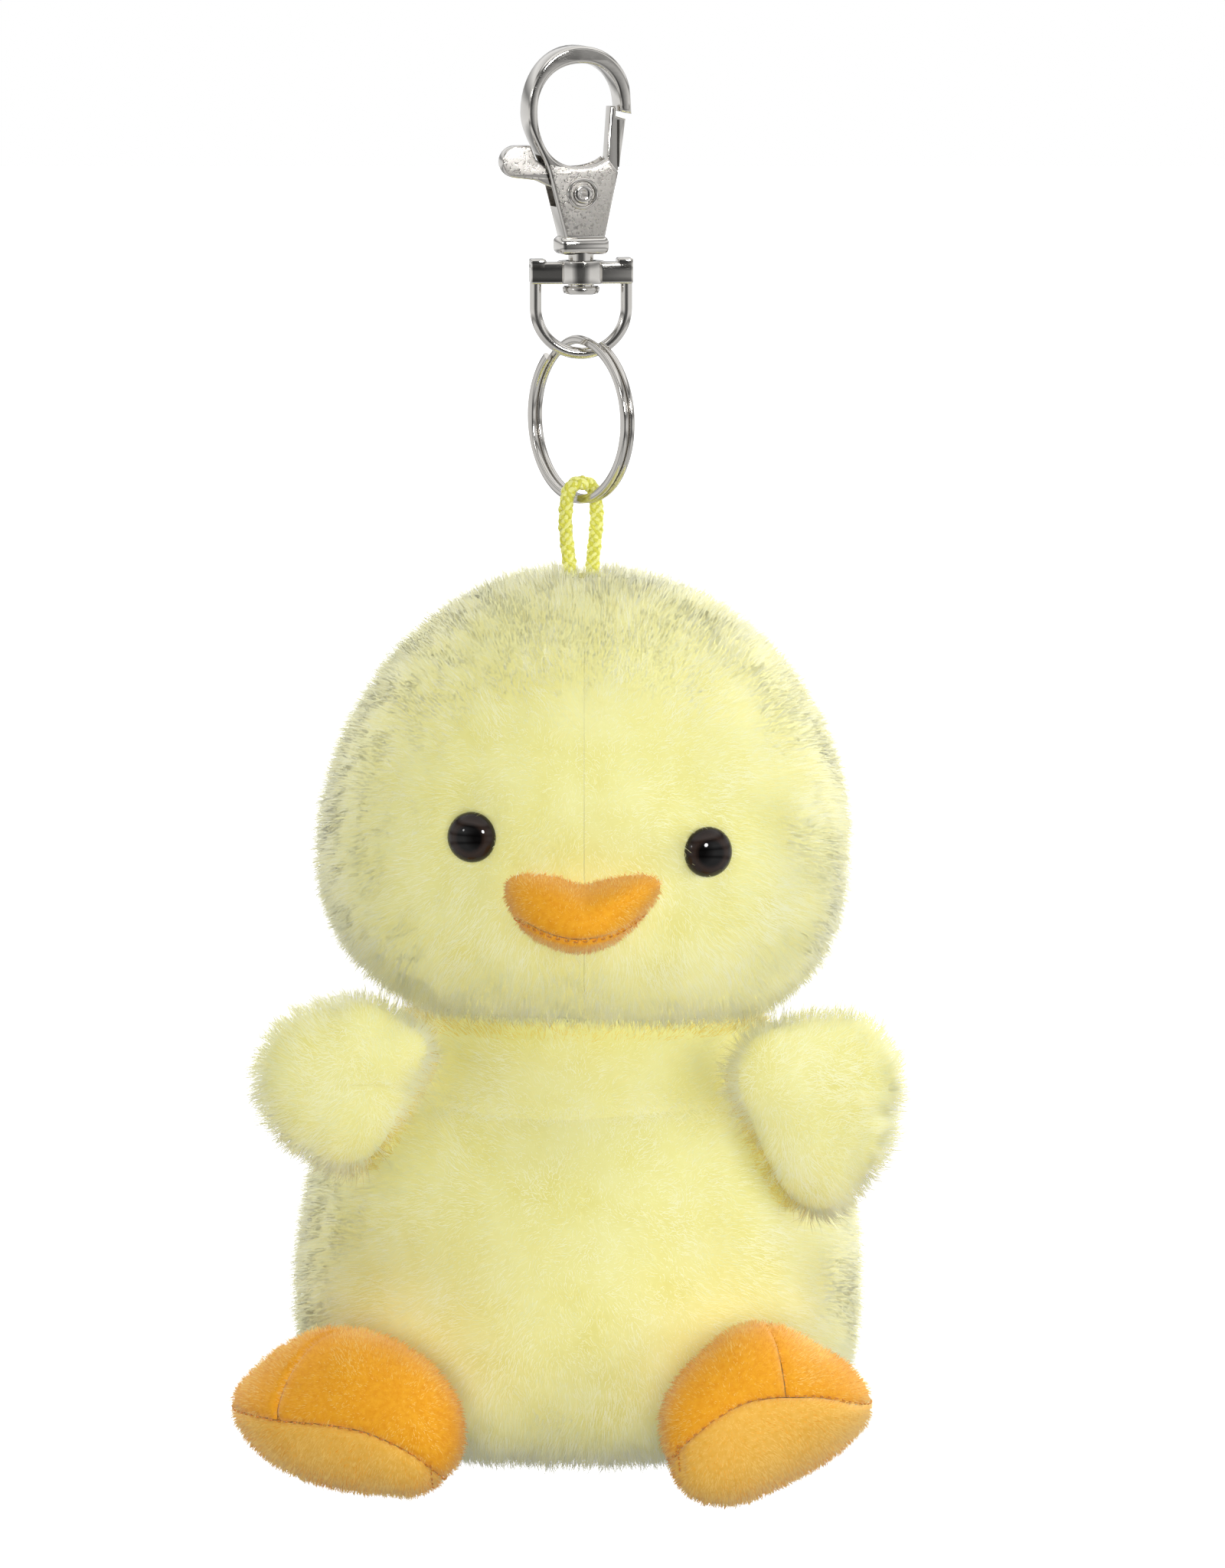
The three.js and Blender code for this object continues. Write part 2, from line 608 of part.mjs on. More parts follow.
const headAndGap = stuffed({
  ...HEAD,
  halfWidth: HEAD.halfWidth + GAP, front: HEAD.front + GAP, back: HEAD.back + GAP,
  up: HEAD.up + GAP, down: HEAD.down + GAP,
}, 0, 20, 12);
const billShell = fabricShell(BILL, BILL_FABRIC, 24, 8);
for (const [name, sign] of [['bill_upper', 1], ['bill_lower', -1]]) {
  const half = placedBill(panel(billShell, [['z', sign]]));
  addPiece(head, name, cutBy(toSolid(half), headAndGap), velour);
}
const billFilling = placedBill(toSolid(stuffed(BILL, BILL_FABRIC + FILL_GAP, 20, 6)));
addPiece(head, 'bill_stuffing', cutBy(toSolid(billFilling), headAndGap), fibre);

// ---------------------------------------------------------------- torso
const torso = addGroup(duckling, TORSO.centre);

// The torso's form, inset on every side, between its flat seat and its flat top
function torsoForm(inset) {
  const low = SEAT_Z - TORSO.centre[2] + inset;
  const high = SHOULDER_Z - TORSO.centre[2] - inset;
  const between = toSolid(box([-FAR, -FAR, low], [FAR, FAR, high]));
  return toSolid(stuffed(TORSO, inset)).intersect(between);
}

const torsoShell = torsoForm(0).subtract(torsoForm(FABRIC));
const torsoPanels = {
  torso_panel_front: [['y', -1]],
  torso_panel_back_left: [['x', -1], ['y', 1]],
  torso_panel_back_right: [['x', 1], ['y', 1]],
};
for (const [name, sides] of Object.entries(torsoPanels)) {
  addPiece(torso, name, panel(torsoShell, sides), plush);
}
addPiece(torso, 'torso_stuffing', torsoForm(LAYER), fibre);
const tail = addGroup(duckling, TAIL.centre, [TAIL.tilt, 0, 0]);
addPiece(tail, 'tail', stuffed(TAIL, 0, 12, 6), plush);

// ---------------------------------------------------------------- wings
for (const { side, centre, form } of WINGS) {
  const wing = addGroup(duckling, centre);
  const shell = fabricShell(form, WING_FABRIC, 20, 8);
  addPiece(wing, `wing_${side}_front`, panel(shell, [['y', -1]]), plush);
  addPiece(wing, `wing_${side}_back`, panel(shell, [['y', 1]]), plush);
  addPiece(wing, `wing_${side}_stuffing`, stuffed(form, WING_FABRIC + FILL_GAP, 16, 6), fibre);
}

// ---------------------------------------------------------------- feet
for (const { side, centre, seam, toeSeam, form } of FEET) {
  const foot = addGroup(duckling, centre);
  const shell = fabricShell(form, FOOT_FABRIC, 20, 10);
  const outward = side === 'left' ? -1 : 1;
  const upper = ['z', 1, seam.height];
  const panels = {
    sole: [['z', -1, seam.height]],
    upper_outer: [upper, ['x', outward, toeSeam]],
    upper_inner: [upper, ['x', -outward, toeSeam]],
  };
  for (const [name, sides] of Object.entries(panels)) {
    addPiece(foot, `foot_${side}_${name}`, panel(shell, sides, seam.tilt), velour);
  }
  addPiece(foot, `foot_${side}_stuffing`, stuffed(form, FOOT_FABRIC + FILL_GAP, 16, 8), fibre);
}

export default duckling;
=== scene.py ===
"""Looks for the plush duckling keychain. Shapes are worked out in millimetres, in the CAD's frame:
+Z up, the duckling looking along -Y, and the origin at the top of the hook's inside."""

import math

import bmesh
import bpy
import numpy as np
from mathutils import Matrix, Vector


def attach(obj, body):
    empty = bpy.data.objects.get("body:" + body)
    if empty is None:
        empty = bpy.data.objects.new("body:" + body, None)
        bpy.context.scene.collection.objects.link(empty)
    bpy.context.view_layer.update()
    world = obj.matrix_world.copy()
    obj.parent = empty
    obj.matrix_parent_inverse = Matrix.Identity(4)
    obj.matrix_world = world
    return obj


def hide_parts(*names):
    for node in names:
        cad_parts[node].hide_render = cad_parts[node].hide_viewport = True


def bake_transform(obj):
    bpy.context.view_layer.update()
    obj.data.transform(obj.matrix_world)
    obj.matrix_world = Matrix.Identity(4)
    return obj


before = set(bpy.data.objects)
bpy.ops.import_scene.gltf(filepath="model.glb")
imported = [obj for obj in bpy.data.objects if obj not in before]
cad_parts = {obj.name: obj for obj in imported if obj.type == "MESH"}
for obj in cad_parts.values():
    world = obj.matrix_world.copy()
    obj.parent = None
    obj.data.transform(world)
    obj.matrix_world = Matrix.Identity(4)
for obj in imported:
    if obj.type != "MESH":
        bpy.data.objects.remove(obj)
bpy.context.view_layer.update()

MM = 0.001
RAD = math.radians


# ---------------------------------------------------------------- camera
VIEW_HEIGHT = 0.18963  # what the picture's height takes in at the duckling
CAMERA_DISTANCE = 2.4
CAMERA_ELEVATION = RAD(5)
AIM = Vector((0.0038, 0.0, -0.0873))

camera_data = bpy.data.cameras.new("camera")
camera_data.sensor_width = 36
camera_data.lens = 36 * CAMERA_DISTANCE / VIEW_HEIGHT
camera = bpy.data.objects.new("camera", camera_data)
bpy.context.collection.objects.link(camera)
away = Vector((0, -math.cos(CAMERA_ELEVATION), math.sin(CAMERA_ELEVATION)))
camera.location = AIM + away * CAMERA_DISTANCE
camera.rotation_euler = (-away).to_track_quat("-Z", "Y").to_euler()
bpy.context.scene.camera = camera


# ---------------------------------------------------------------- small tools
def turn(axis, angle):
    return np.array(Matrix.Rotation(angle, 3, axis))


def unit(vectors):
    vectors = np.asarray(vectors, float)
    length = np.linalg.norm(vectors, axis=-1, keepdims=True)
    return vectors / np.maximum(length, 1e-12)


def srgb(red, green, blue):
    """An 8-bit display colour as linear light, with alpha."""
    linear = []
    for value in (red, green, blue):
        v = value / 255
        linear.append(v / 12.92 if v <= 0.04045 else ((v + 0.055) / 1.055) ** 2.4)
    return (*linear, 1.0)


def in_scene(name, data):
    made = bpy.data.objects.new(name, data)
    bpy.context.collection.objects.link(made)
    return made


def new_object(name, mesh, body, replaces=(), materials=()):
    obj = in_scene(name, mesh)
    for material in materials:
        mesh.materials.append(material)
    if body:
        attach(obj, body)
    if replaces:
        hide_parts(*replaces)
    return obj


def edit_mesh(mesh, change):
    """The mesh, with its geometry changed in place."""
    built = bmesh.new()
    built.from_mesh(mesh)
    change(built)
    built.to_mesh(mesh)
    built.free()
    return mesh


def merge_points(distance):
    """A change that merges doubled points and turns the faces out."""
    def change(built):
        bmesh.ops.remove_doubles(built, verts=built.verts, dist=distance)
        bmesh.ops.recalc_face_normals(built, faces=built.faces)
    return change


def mesh_from(name, points, faces, smooth=True):
    """A mesh from points in millimetres."""
    mesh = bpy.data.meshes.new(name)
    mesh.from_pydata([tuple(p) for p in np.asarray(points, float) * MM], [], faces)
    edit_mesh(mesh, merge_points(1e-4 * MM))
    for polygon in mesh.polygons:
        polygon.use_smooth = smooth
    return mesh


def tube_faces(rings, around, closed_ends=False):
    """Faces between rings of points, one after another."""
    faces = []
    for i in range(rings - 1):
        for k in range(around):
            a, b = i * around + k, i * around + (k + 1) % around
            faces.append((a, b, b + around, a + around))
    if closed_ends:
        faces.append(tuple(range(around)))
        faces.append(tuple(rings * around - 1 - k for k in range(around)))
    return faces


def turned(mesh, frame_turn):
    mesh.transform(Matrix(frame_turn.tolist()).to_4x4())
    return mesh


def join_meshes(name, meshes):
    """Several meshes as one, keeping each one's shading."""
    built = bmesh.new()
    for mesh in meshes:
        built.from_mesh(mesh)
        bpy.data.meshes.remove(mesh)
    whole = bpy.data.meshes.new(name)
    built.to_mesh(whole)
    built.free()
    return whole


def smooth_step(a, b, c, d, t):
    """A smooth curve from b to c that goes on to a and d."""
    square, cube = 2 * a - 5 * b + 4 * c - d, 3 * b - a - 3 * c + d
    return (2 * b + (c - a) * t + square * t**2 + cube * t**3) / 2


def distances(line):
    """How far along a line each of its points is."""
    return np.concatenate([[0], np.cumsum(np.linalg.norm(np.diff(line, axis=0), axis=1))])


def along_line(line, distance, wanted):
    return np.stack([np.interp(wanted, distance, line[:, k]) for k in range(3)], axis=-1)


def waves(points, scale, seed):
    """Smooth repeatable noise, about -1 to 1, with features about scale millimetres across."""
    rng = np.random.default_rng(seed)
    total, count = np.zeros(len(points)), 7
    for _ in range(count):
        direction = unit(rng.normal(size=3))
        pitch = 2 * math.pi / (scale * rng.uniform(0.7, 1.7))
        total += np.sin(points @ direction * pitch + rng.uniform(0, 2 * math.pi))
    return total / math.sqrt(count)


def wave_vectors(points, scale, seed):
    return np.stack([waves(points, scale, seed + k) for k in range(3)], axis=1)


# ---------------------------------------------------------------- materials
def new_material(name):
    material = bpy.data.materials.new(name)
    material.use_nodes = True
    return material, material.node_tree, material.node_tree.nodes["Principled BSDF"]


def set_inputs(shader, **inputs):
    """Sets values on a shader's own sockets, with _ for a space in their names."""
    for key, value in inputs.items():
        shader.inputs[key.replace("_", " ")].default_value = value


def cloth_finish(shader, roughness, specular, sheen, sheen_roughness):
    set_inputs(shader, Roughness=roughness, Specular_IOR_Level=specular)
    set_inputs(shader, Sheen_Weight=sheen, Sheen_Roughness=sheen_roughness)


def fibre_tones(family, sheen, colours):
    """Fibres have one colour each: the pattern comes from many fibres of several tones."""
    made = []
    for tone, colour in colours.items():
        material, _, shader = new_material(f"{family}_{tone}")
        set_inputs(shader, Base_Color=srgb(*colour))
        cloth_finish(shader, roughness=0.9, specular=0.15, sheen=sheen, sheen_roughness=0.5)
        made.append(material)
    return made


def node(tree, kind, **inputs):
    made = tree.nodes.new(kind)
    set_inputs(made, **inputs)
    return made


def grey(level):
    return (level, level, level, 1)


def noise(tree, scale, detail):
    """A noise pattern over the object. Scale is in features per metre."""
    place = tree.nodes.new("ShaderNodeTexCoord")
    made = node(tree, "ShaderNodeTexNoise", Scale=scale, Detail=detail, Roughness=0.6)
    tree.links.new(place.outputs["Object"], made.inputs["Vector"])
    return made.outputs["Fac"]


def colour_ramp(tree, source, stops):
    ramp = tree.nodes.new("ShaderNodeValToRGB")
    while len(ramp.color_ramp.elements) < len(stops):
        ramp.color_ramp.elements.new(0.5)
    for element, (position, colour) in zip(ramp.color_ramp.elements, stops):
        element.position = position
        element.color = colour
    tree.links.new(source, ramp.inputs["Fac"])
    return ramp.outputs["Color"]


def bump(tree, height, strength, distance, under=None):
    """A raised surface, over another one where that is given."""
    raised = node(tree, "ShaderNodeBump", Strength=strength, Distance=distance * MM)
    tree.links.new(height, raised.inputs["Height"])
    if under is not None:
        tree.links.new(under, raised.inputs["Normal"])
    return raised.outputs["Normal"]


def fabric(name, dark, light, grain, relief, sheen=0.4, roughness=0.95):
    """Cloth with a mottled colour and a fine raised grain."""
    material, tree, shader = new_material(name)
    mottle = colour_ramp(tree, noise(tree, grain, 6), [(0.3, srgb(*dark)), (0.7, srgb(*light))])
    tree.links.new(mottle, shader.inputs["Base Color"])
    raised = bump(tree, noise(tree, grain * 2.2, 4), strength=0.7, distance=relief)
    tree.links.new(raised, shader.inputs["Normal"])
    cloth_finish(shader, roughness, specular=0.15, sheen=sheen, sheen_roughness=0.45)
    return material


def pile_fabric(name, dark, light):
    """Dense pile seen end on: soft blotches a few millimetres wide, and a very fine grain."""
    material, tree, shader = new_material(name)
    blotches = colour_ramp(tree, noise(tree, 160, 3), [(0.32, srgb(*dark)), (0.68, srgb(*light))])
    tree.links.new(blotches, shader.inputs["Base Color"])
    clumps = bump(tree, noise(tree, 420, 2), strength=0.5, distance=0.35)
    grain = bump(tree, noise(tree, 2600, 3), strength=0.35, distance=0.08, under=clumps)
    tree.links.new(grain, shader.inputs["Normal"])
    cloth_finish(shader, roughness=1.0, specular=0.1, sheen=0.35, sheen_roughness=0.6)
    return material


def metal(name, colour, smooth, rough, grain, relief):
    """Plated metal: its roughness drifts, and a cast one has a fine grain."""
    material, tree, shader = new_material(name)
    drift = noise(tree, grain, 5)
    roughness = colour_ramp(tree, drift, [(0.35, grey(smooth)), (0.75, grey(rough))])
    tree.links.new(roughness, shader.inputs["Roughness"])
    tree.links.new(bump(tree, drift, 0.5, relief), shader.inputs["Normal"])
    set_inputs(shader, Base_Color=srgb(*colour), Metallic=1.0)
    return material


# The last tone is painted shade: a deeper gold for pile deep in folds, where shade falls.
FUR_TONES = fibre_tones("pile", 0.35, {
    "pale": (250, 249, 206), "mid": (248, 245, 180), "warm": (245, 238, 158), "cool": (240, 240, 184),
    "crease": (238, 218, 112),
})
FOLD_SHADE_TONE = len(FUR_TONES) - 1
EVEN_TONES = [0.3, 0.35, 0.2, 0.15]
VELOUR_TONES = fibre_tones("velour_pile", 0.3, {
    "light": (252, 206, 108), "mid": (248, 180, 62), "deep": (236, 156, 38),
})
pile_mass = pile_fabric("pile_mass", (236, 230, 140), (243, 240, 164))
# The wing joins' cloth is a deeper gold than pile_mass: painted shade of the fold round each wing.
crease_cloth = pile_fabric("crease_cloth", (228, 208, 104), (238, 222, 128))
velour = fabric("velour_cloth", (234, 154, 28), (246, 176, 48), grain=1500, relief=0.12, sheen=0.25)
velour_sole = fabric("velour_sole", (236, 176, 68), (246, 194, 92), grain=1500, relief=0.12, sheen=0.25)
stitch_thread = fabric("stitch_thread", (204, 122, 34), (222, 142, 46), grain=6000, relief=0.02)
cord_tones = [
    fabric("cord_yarn_a", (210, 208, 70), (232, 230, 106), grain=5200, relief=0.03),
    fabric("cord_yarn_b", (234, 233, 118), (250, 250, 176), grain=5200, relief=0.03),
]
filling = fabric("filling_fibre", (226, 224, 216), (250, 249, 245), grain=1500, relief=0.2)
washer = fabric(
    "washer_plastic", (214, 214, 208), (232, 232, 228), grain=800, relief=0.01, sheen=0,
    roughness=0.5,
)
bright_nickel = metal("bright_nickel", (214, 211, 206), smooth=0.06, rough=0.16, grain=400, relief=0.01)
cast_nickel = metal("cast_nickel", (198, 194, 188), smooth=0.22, rough=0.45, grain=3200, relief=0.06)
ring_steel = metal("ring_steel", (206, 203, 198), smooth=0.1, rough=0.22, grain=300, relief=0.01)


def eye_plastic():
    """A dark brown iris round a black pupil, under a clear gloss."""
    material, tree, shader = new_material("eye_plastic")
    across = tree.nodes.new("ShaderNodeUVMap")
    split = tree.nodes.new("ShaderNodeSeparateXYZ")
    tree.links.new(across.outputs["UV"], split.inputs["Vector"])
    rings = {0: (6, 5, 5), 0.46: (6, 5, 5), 0.64: (46, 34, 28), 1: (26, 19, 15)}
    stops = [(position, srgb(*colour)) for position, colour in rings.items()]
    tree.links.new(colour_ramp(tree, split.outputs["X"], stops), shader.inputs["Base Color"])
    set_inputs(shader, Roughness=0.06, Specular_IOR_Level=0.3)
    return material


# ---------------------------------------------------------------- stuffed forms
HEAD = dict(
    half_width=31.1, front=28.5, back=27, up=32.6, down=22.4, plan=2.2, up_power=2, down_power=2.6
)
HEAD_CENTRE = np.array([0.4, 0, -94.3])
HEAD_TURN = turn("Y", RAD(3.7))
TORSO = dict(
    half_width=33.2, front=28.5, back=27, up=36, down=20.6, plan=2.2, up_power=2.3, down_power=2.9
)
TORSO_CENTRE = np.array([-0.3, 1.5, -149])
SHOULDER_Z, SEAT_Z = -118.0, -168.8
BILL = dict(
    outline=(7.7, 10, 6.3, 4.2, 3.6, 4.2, 6.6, 10.1, 8.9, 7.2, 5.8, 5.1, 4.8, 4.8, 5.2, 6),
    front=9, back=9, power=2.2, slant=(0, 0.45),
)
BILL_CENTRE = np.array([0.4, -27.5, -100.1])
TAIL = dict(half_width=5.2, front=3, back=7.5, up=3.6, down=3.6, plan=1.8, up_power=2, down_power=2)
TAIL_CENTRE = np.array([-0.3, 31.6, -153])
TAIL_TURN = turn("X", RAD(28))
WINGS = {
    "left": dict(
        centre=np.array([-29.6, -16.2, -121.8]),
        form=dict(
            outline=(9.6, 12.6, 11.3, 10.9, 9.6, 9, 9.1, 9.1, 9.2, 8.9, 9.2, 9.2, 10.4, 10.5, 9.4, 8.8),
            front=4.4, back=4.2, power=2.3, slant=(-0.14, 0),
        ),
    ),
    "right": dict(
        centre=np.array([29.3, -17.4, -125.4]),
        form=dict(
            outline=(8.2, 9.7, 11.1, 12.1, 11.7, 12, 13, 11.9, 9.6, 8.9, 9.6, 11.3, 12.3, 10, 9, 8.5),
            front=4.4, back=4.2, power=2.3, slant=(0.14, 0),
        ),
    ),
}
FEET = {
    "left": dict(
        centre=np.array([-28.1, -27.2, -160.2]),
        form=dict(
            outline=(
                14, 12.4, 10.9, 10.1, 10, 10.2, 10.6, 11.9, 13.9, 12.5, 10.8, 9.8, 9.8, 10.8, 13.5, 14.7,
            ),
            front=11, back=9, power=2.1, slant=(-0.445, 0),
        ),
        seam=((-15, -0.3), (-8, -0.7), (-3.3, -0.6), (1.5, -1.1), (4.4, -2), (7.8, -3.7), (10, -5.4),
              (12, -7.6), (14, -10)),
        outer=(135, 225),
    ),
    "right": dict(
        centre=np.array([22.2, -29.8, -160.1]),
        form=dict(
            outline=(12.9, 11.5, 10, 9.9, 10.8, 11, 10.7, 11.6, 12.8, 13, 13.5, 12, 9.9, 9.1, 9.5, 11),
            front=11, back=9, power=2.1, slant=(0.445, 0),
        ),
        seam=((-13, -7.5), (-10.8, -3.4), (-9.4, -2), (-6.4, 0.4), (-3.2, 2.4), (0, 3), (3.1, 2.9),
              (7.3, 2.5), (10.8, 1.1), (13.1, 0.4)),
        outer=(-76, 76),
    ),
}
BILL_SEAM = (
    (-10, -0.1), (-8.9, -0.6), (-7, -1.2), (-4.8, -2.2), (-2.6, -2.8), (-0.5, -3), (1.7, -2.8),
    (3.6, -2.3), (4.8, -1.9), (6.4, -0.9), (7.9, 0.2), (10, 2.4),
)


def outline_reach(outline, angle):
    """The reach of an outline at angles from +x by way of +z, on a smooth curve through its steps."""
    steps = np.asarray(outline, float)
    place = (angle / (2 * math.pi) * len(steps)) % len(steps)
    first = np.floor(place).astype(int)
    a, b, c, d = (steps[(first + k) % len(steps)] for k in (-1, 0, 1, 2))
    return smooth_step(a, b, c, d, place - first)


def flat_reach(form, directions, inset=0.0):
    """How far a flat form reaches, which bulges to the front and back of its outline."""
    x, y, z = directions.T
    side = outline_reach(form["outline"], np.arctan2(z, x)) - inset
    depth = np.where(y < 0, form["front"], form["back"]) - inset
    power = form["power"]
    return ((np.hypot(x, z) / side) ** power + np.abs(y / depth) ** power) ** (-1 / power)


def slant(form, x, z):
    """How far a flat form leans back at a place across and up it."""
    return form["slant"][0] * x + form["slant"][1] * z


def flat_points(form, centre, directions, inset=0.0):
    local = directions * flat_reach(form, directions, inset)[:, None]
    local[:, 1] += slant(form, local[:, 0], local[:, 2])
    return centre + local


def inside_flat(form, centre, points, grow=0.0):
    local = np.array(points - centre)
    local[:, 1] -= slant(form, local[:, 0], local[:, 2])
    return np.linalg.norm(local, axis=1) < flat_reach(form, unit(local), -grow)


def reach(form, directions, inset=0.0):
    """How far a stuffed form reaches along directions in its own frame."""
    x, y, z = directions.T
    reach_y = np.where(y < 0, form["front"], form["back"]) - inset
    reach_z = np.where(z < 0, form["down"], form["up"]) - inset
    power = np.where(z < 0, form["down_power"], form["up_power"])
    across = np.abs(x / (form["half_width"] - inset)) ** form["plan"]
    across = across + np.abs(y / reach_y) ** form["plan"]
    whole = across ** (power / form["plan"]) + np.abs(z / reach_z) ** power
    return whole ** (-1 / power)


def directions_from(longitude, latitude):
    """Unit vectors. Longitude turns from +x to +y, and latitude runs down from +z."""
    flat = np.sin(latitude)
    return np.stack([flat * np.cos(longitude), flat * np.sin(longitude), np.cos(latitude)], axis=-1)


def grid_of(surface, longitudes, latitudes, inset):
    """A grid of points over part of a surface."""
    longitude, latitude = np.meshgrid(longitudes, latitudes, indexing="ij")
    flat = surface(longitude.ravel(), latitude.ravel(), inset)
    return flat.reshape(len(longitudes), len(latitudes), 3)


def edge_groove(longitudes, latitudes, size, edges, depth, width):
    """How deep a seam pulls the cloth in near the named edges of a grid, in millimetres."""
    longitude, latitude = np.meshgrid(longitudes, latitudes, indexing="ij")
    pull = np.zeros(longitude.shape)
    for edge in edges:
        if edge in ("first", "last"):
            end = longitudes[0] if edge == "first" else longitudes[-1]
            away_from = np.abs(longitude - end) * size * np.sin(latitude)
        else:
            end = latitudes[0] if edge == "top" else latitudes[-1]
            away_from = np.abs(latitude - end) * size
        pull = np.maximum(pull, np.exp(-((away_from / width) ** 2)))
    return pull * depth


def shell_faces(rows, columns):
    """Faces of a closed shell between an outer and an inner grid."""
    size = rows * columns
    faces = []
    for i in range(rows - 1):
        for j in range(columns - 1):
            a, b = i * columns + j, (i + 1) * columns + j
            faces.append((a, b, b + 1, a + 1))
            faces.append((a + size, a + 1 + size, b + 1 + size, b + size))
    border = list(range(columns - 1))
    border += [i * columns + columns - 1 for i in range(rows - 1)]
    border += [(rows - 1) * columns + j for j in range(columns - 1, 0, -1)]
    border += [i * columns for i in range(rows - 1, 0, -1)]
    for a, b in zip(border, border[1:] + border[:1]):
        faces.append((a, b, b + size, a + size))
    return faces


def padded_shell(name, outer, inner, body, replaces, material):
    points = np.concatenate([outer.reshape(-1, 3), inner.reshape(-1, 3)])
    mesh = mesh_from(name, points, shell_faces(*outer.shape[:2]))
    obj = new_object(name, mesh, body, (replaces,), [material])


def turned_out(normals, offsets):
    """Normals, each turned to the side that its offset from the middle is on."""
    outward = np.sum(normals * offsets, axis=-1, keepdims=True)
    return normals * np.where(outward < 0, -1, 1)


def grid_normals(grid, centre):
    """Outward normals at a grid's points."""
    normals = unit(np.cross(np.gradient(grid, axis=0), np.gradient(grid, axis=1)))
    return turned_out(normals, grid - centre)


def grooved_shell(name, surface, centre, longitudes, latitudes, body, replaces, inset, thickness,
                  groove):
    """A padded panel of pile fabric, drawn in at its sewn edges. It gives back its outer grid."""
    pull = edge_groove(longitudes, latitudes, **groove)
    outer = grid_of(surface, longitudes, latitudes, inset)
    outer = outer - grid_normals(outer, centre) * pull[..., None]
    inner = grid_of(surface, longitudes, latitudes, inset + thickness)
    padded_shell(name, outer, inner, body, replaces, pile_mass)
    return outer


# ---------------------------------------------------------------- pile
NEEDLE_FACES = [
    (0, 1, 2), (3, 4, 1, 0), (4, 5, 2, 1), (5, 3, 0, 2), (6, 4, 3), (6, 5, 4), (6, 3, 5),
]
NEEDLE_LOOPS = np.array([corner for face in NEEDLE_FACES for corner in face])
NEEDLE_SIZES = np.array([len(face) for face in NEEDLE_FACES])
NEEDLE_POINTS = 7  # three at the foot, three at the knee and the tip
KNEE_WIDTH = 0.72  # of the width at the foot
FOLD_SHADE_SHARE = 0.8  # of the fibres in a fold that get the painted shade tone
MOST_FIBRES = 19000  # in one piece


def scatter(grid, centre, density, rng):
    """Places spread evenly over a grid, and their outward normals."""
    a, b, c, d = grid[:-1, :-1], grid[1:, :-1], grid[1:, 1:], grid[:-1, 1:]
    cross = np.cross(c - a, d - b).reshape(-1, 3)
    area = np.linalg.norm(cross, axis=1) / 2
    count = int(area.sum() * density)
    pick = rng.choice(len(area), count, p=area / area.sum())
    s, t = rng.random((2, count, 1))
    corners = [corner.reshape(-1, 3)[pick] for corner in (a, b, c, d)]
    low = corners[0] * (1 - s) + corners[1] * s
    high = corners[3] * (1 - s) + corners[2] * s
    places = low * (1 - t) + high * t
    return places, turned_out(unit(cross[pick]), places - centre)


def pile(name, places, normals, rng, join, tones, slot, length, width, lean, comb=(0, 0, -1),
         swirl=0.8, clump=0.25, weights=EVEN_TONES, facing=None, crease=None):
    """Fine tapered fibres standing on a fabric. lean is how far they bend over, in radians. join
    puts a finished object on its body, and the fold mask marks fibres that get painted shade, a deep
    tone.
    The fibres shade like the fabric under them, or as if they faced the given way, and they let
    light through, as very fine pile does."""
    count = len(places)
    direction = np.asarray(comb, float) + swirl * wave_vectors(places, scale=9, seed=11)
    direction = direction + rng.normal(scale=0.6, size=(count, 3))
    direction -= normals * np.sum(direction * normals, axis=1, keepdims=True)
    direction = unit(direction)
    share = rng.random((count, 1))
    size = length * (0.55 + 0.5 * share + 0.5 * share**6)
    first = lean * rng.uniform(0.1, 0.9, (count, 1))
    second = lean * rng.uniform(0.7, 1.7, (count, 1))
    foot = places - normals * 0.2
    knee = places + size * 0.5 * (normals * np.cos(first) + direction * np.sin(first))
    tip = knee + size * 0.5 * (normals * np.cos(second) + direction * np.sin(second))
    gather = wave_vectors(places, scale=3.2, seed=31) * clump
    gather -= normals * np.sum(gather * normals, axis=1, keepdims=True)
    knee = knee + gather * 0.35
    tip = tip + gather
    side = unit(np.cross(direction, normals))
    other = unit(np.cross(side, tip - foot))
    half = width / 2 * rng.uniform(0.8, 1.2, (count, 1))
    points = np.empty((count, NEEDLE_POINTS, 3))
    for corner in range(3):
        angle = corner * 2 * math.pi / 3
        spread = side * math.cos(angle) + other * math.sin(angle)
        points[:, corner] = foot + spread * half
        points[:, 3 + corner] = knee + spread * half * KNEE_WIDTH
    points[:, 6] = tip
    share = waves(places, scale=7, seed=71) * 0.25 + rng.random(count)
    edges = np.quantile(share, np.cumsum(weights)[:-1])
    tone = np.searchsorted(edges, share)
    # Most fibres in a fold take the deep tone: painted shade.
    if crease is not None:
        tone = np.where(crease & (rng.random(count) < FOLD_SHADE_SHARE), FOLD_SHADE_TONE, tone)
    facing = normals if facing is None else facing
    parts = np.array_split(np.argsort(places[:, 2]), max(1, math.ceil(count / MOST_FIBRES)))
    for index, part in enumerate(parts):
        mesh = needles_mesh(name, points[part], facing[part], tone[part])
        piece = new_object(f"{name}_{index + 1}" if len(parts) > 1 else name, mesh, None, (), tones)
        piece.visible_shadow = False
        piece.visible_diffuse = False
        join(piece)


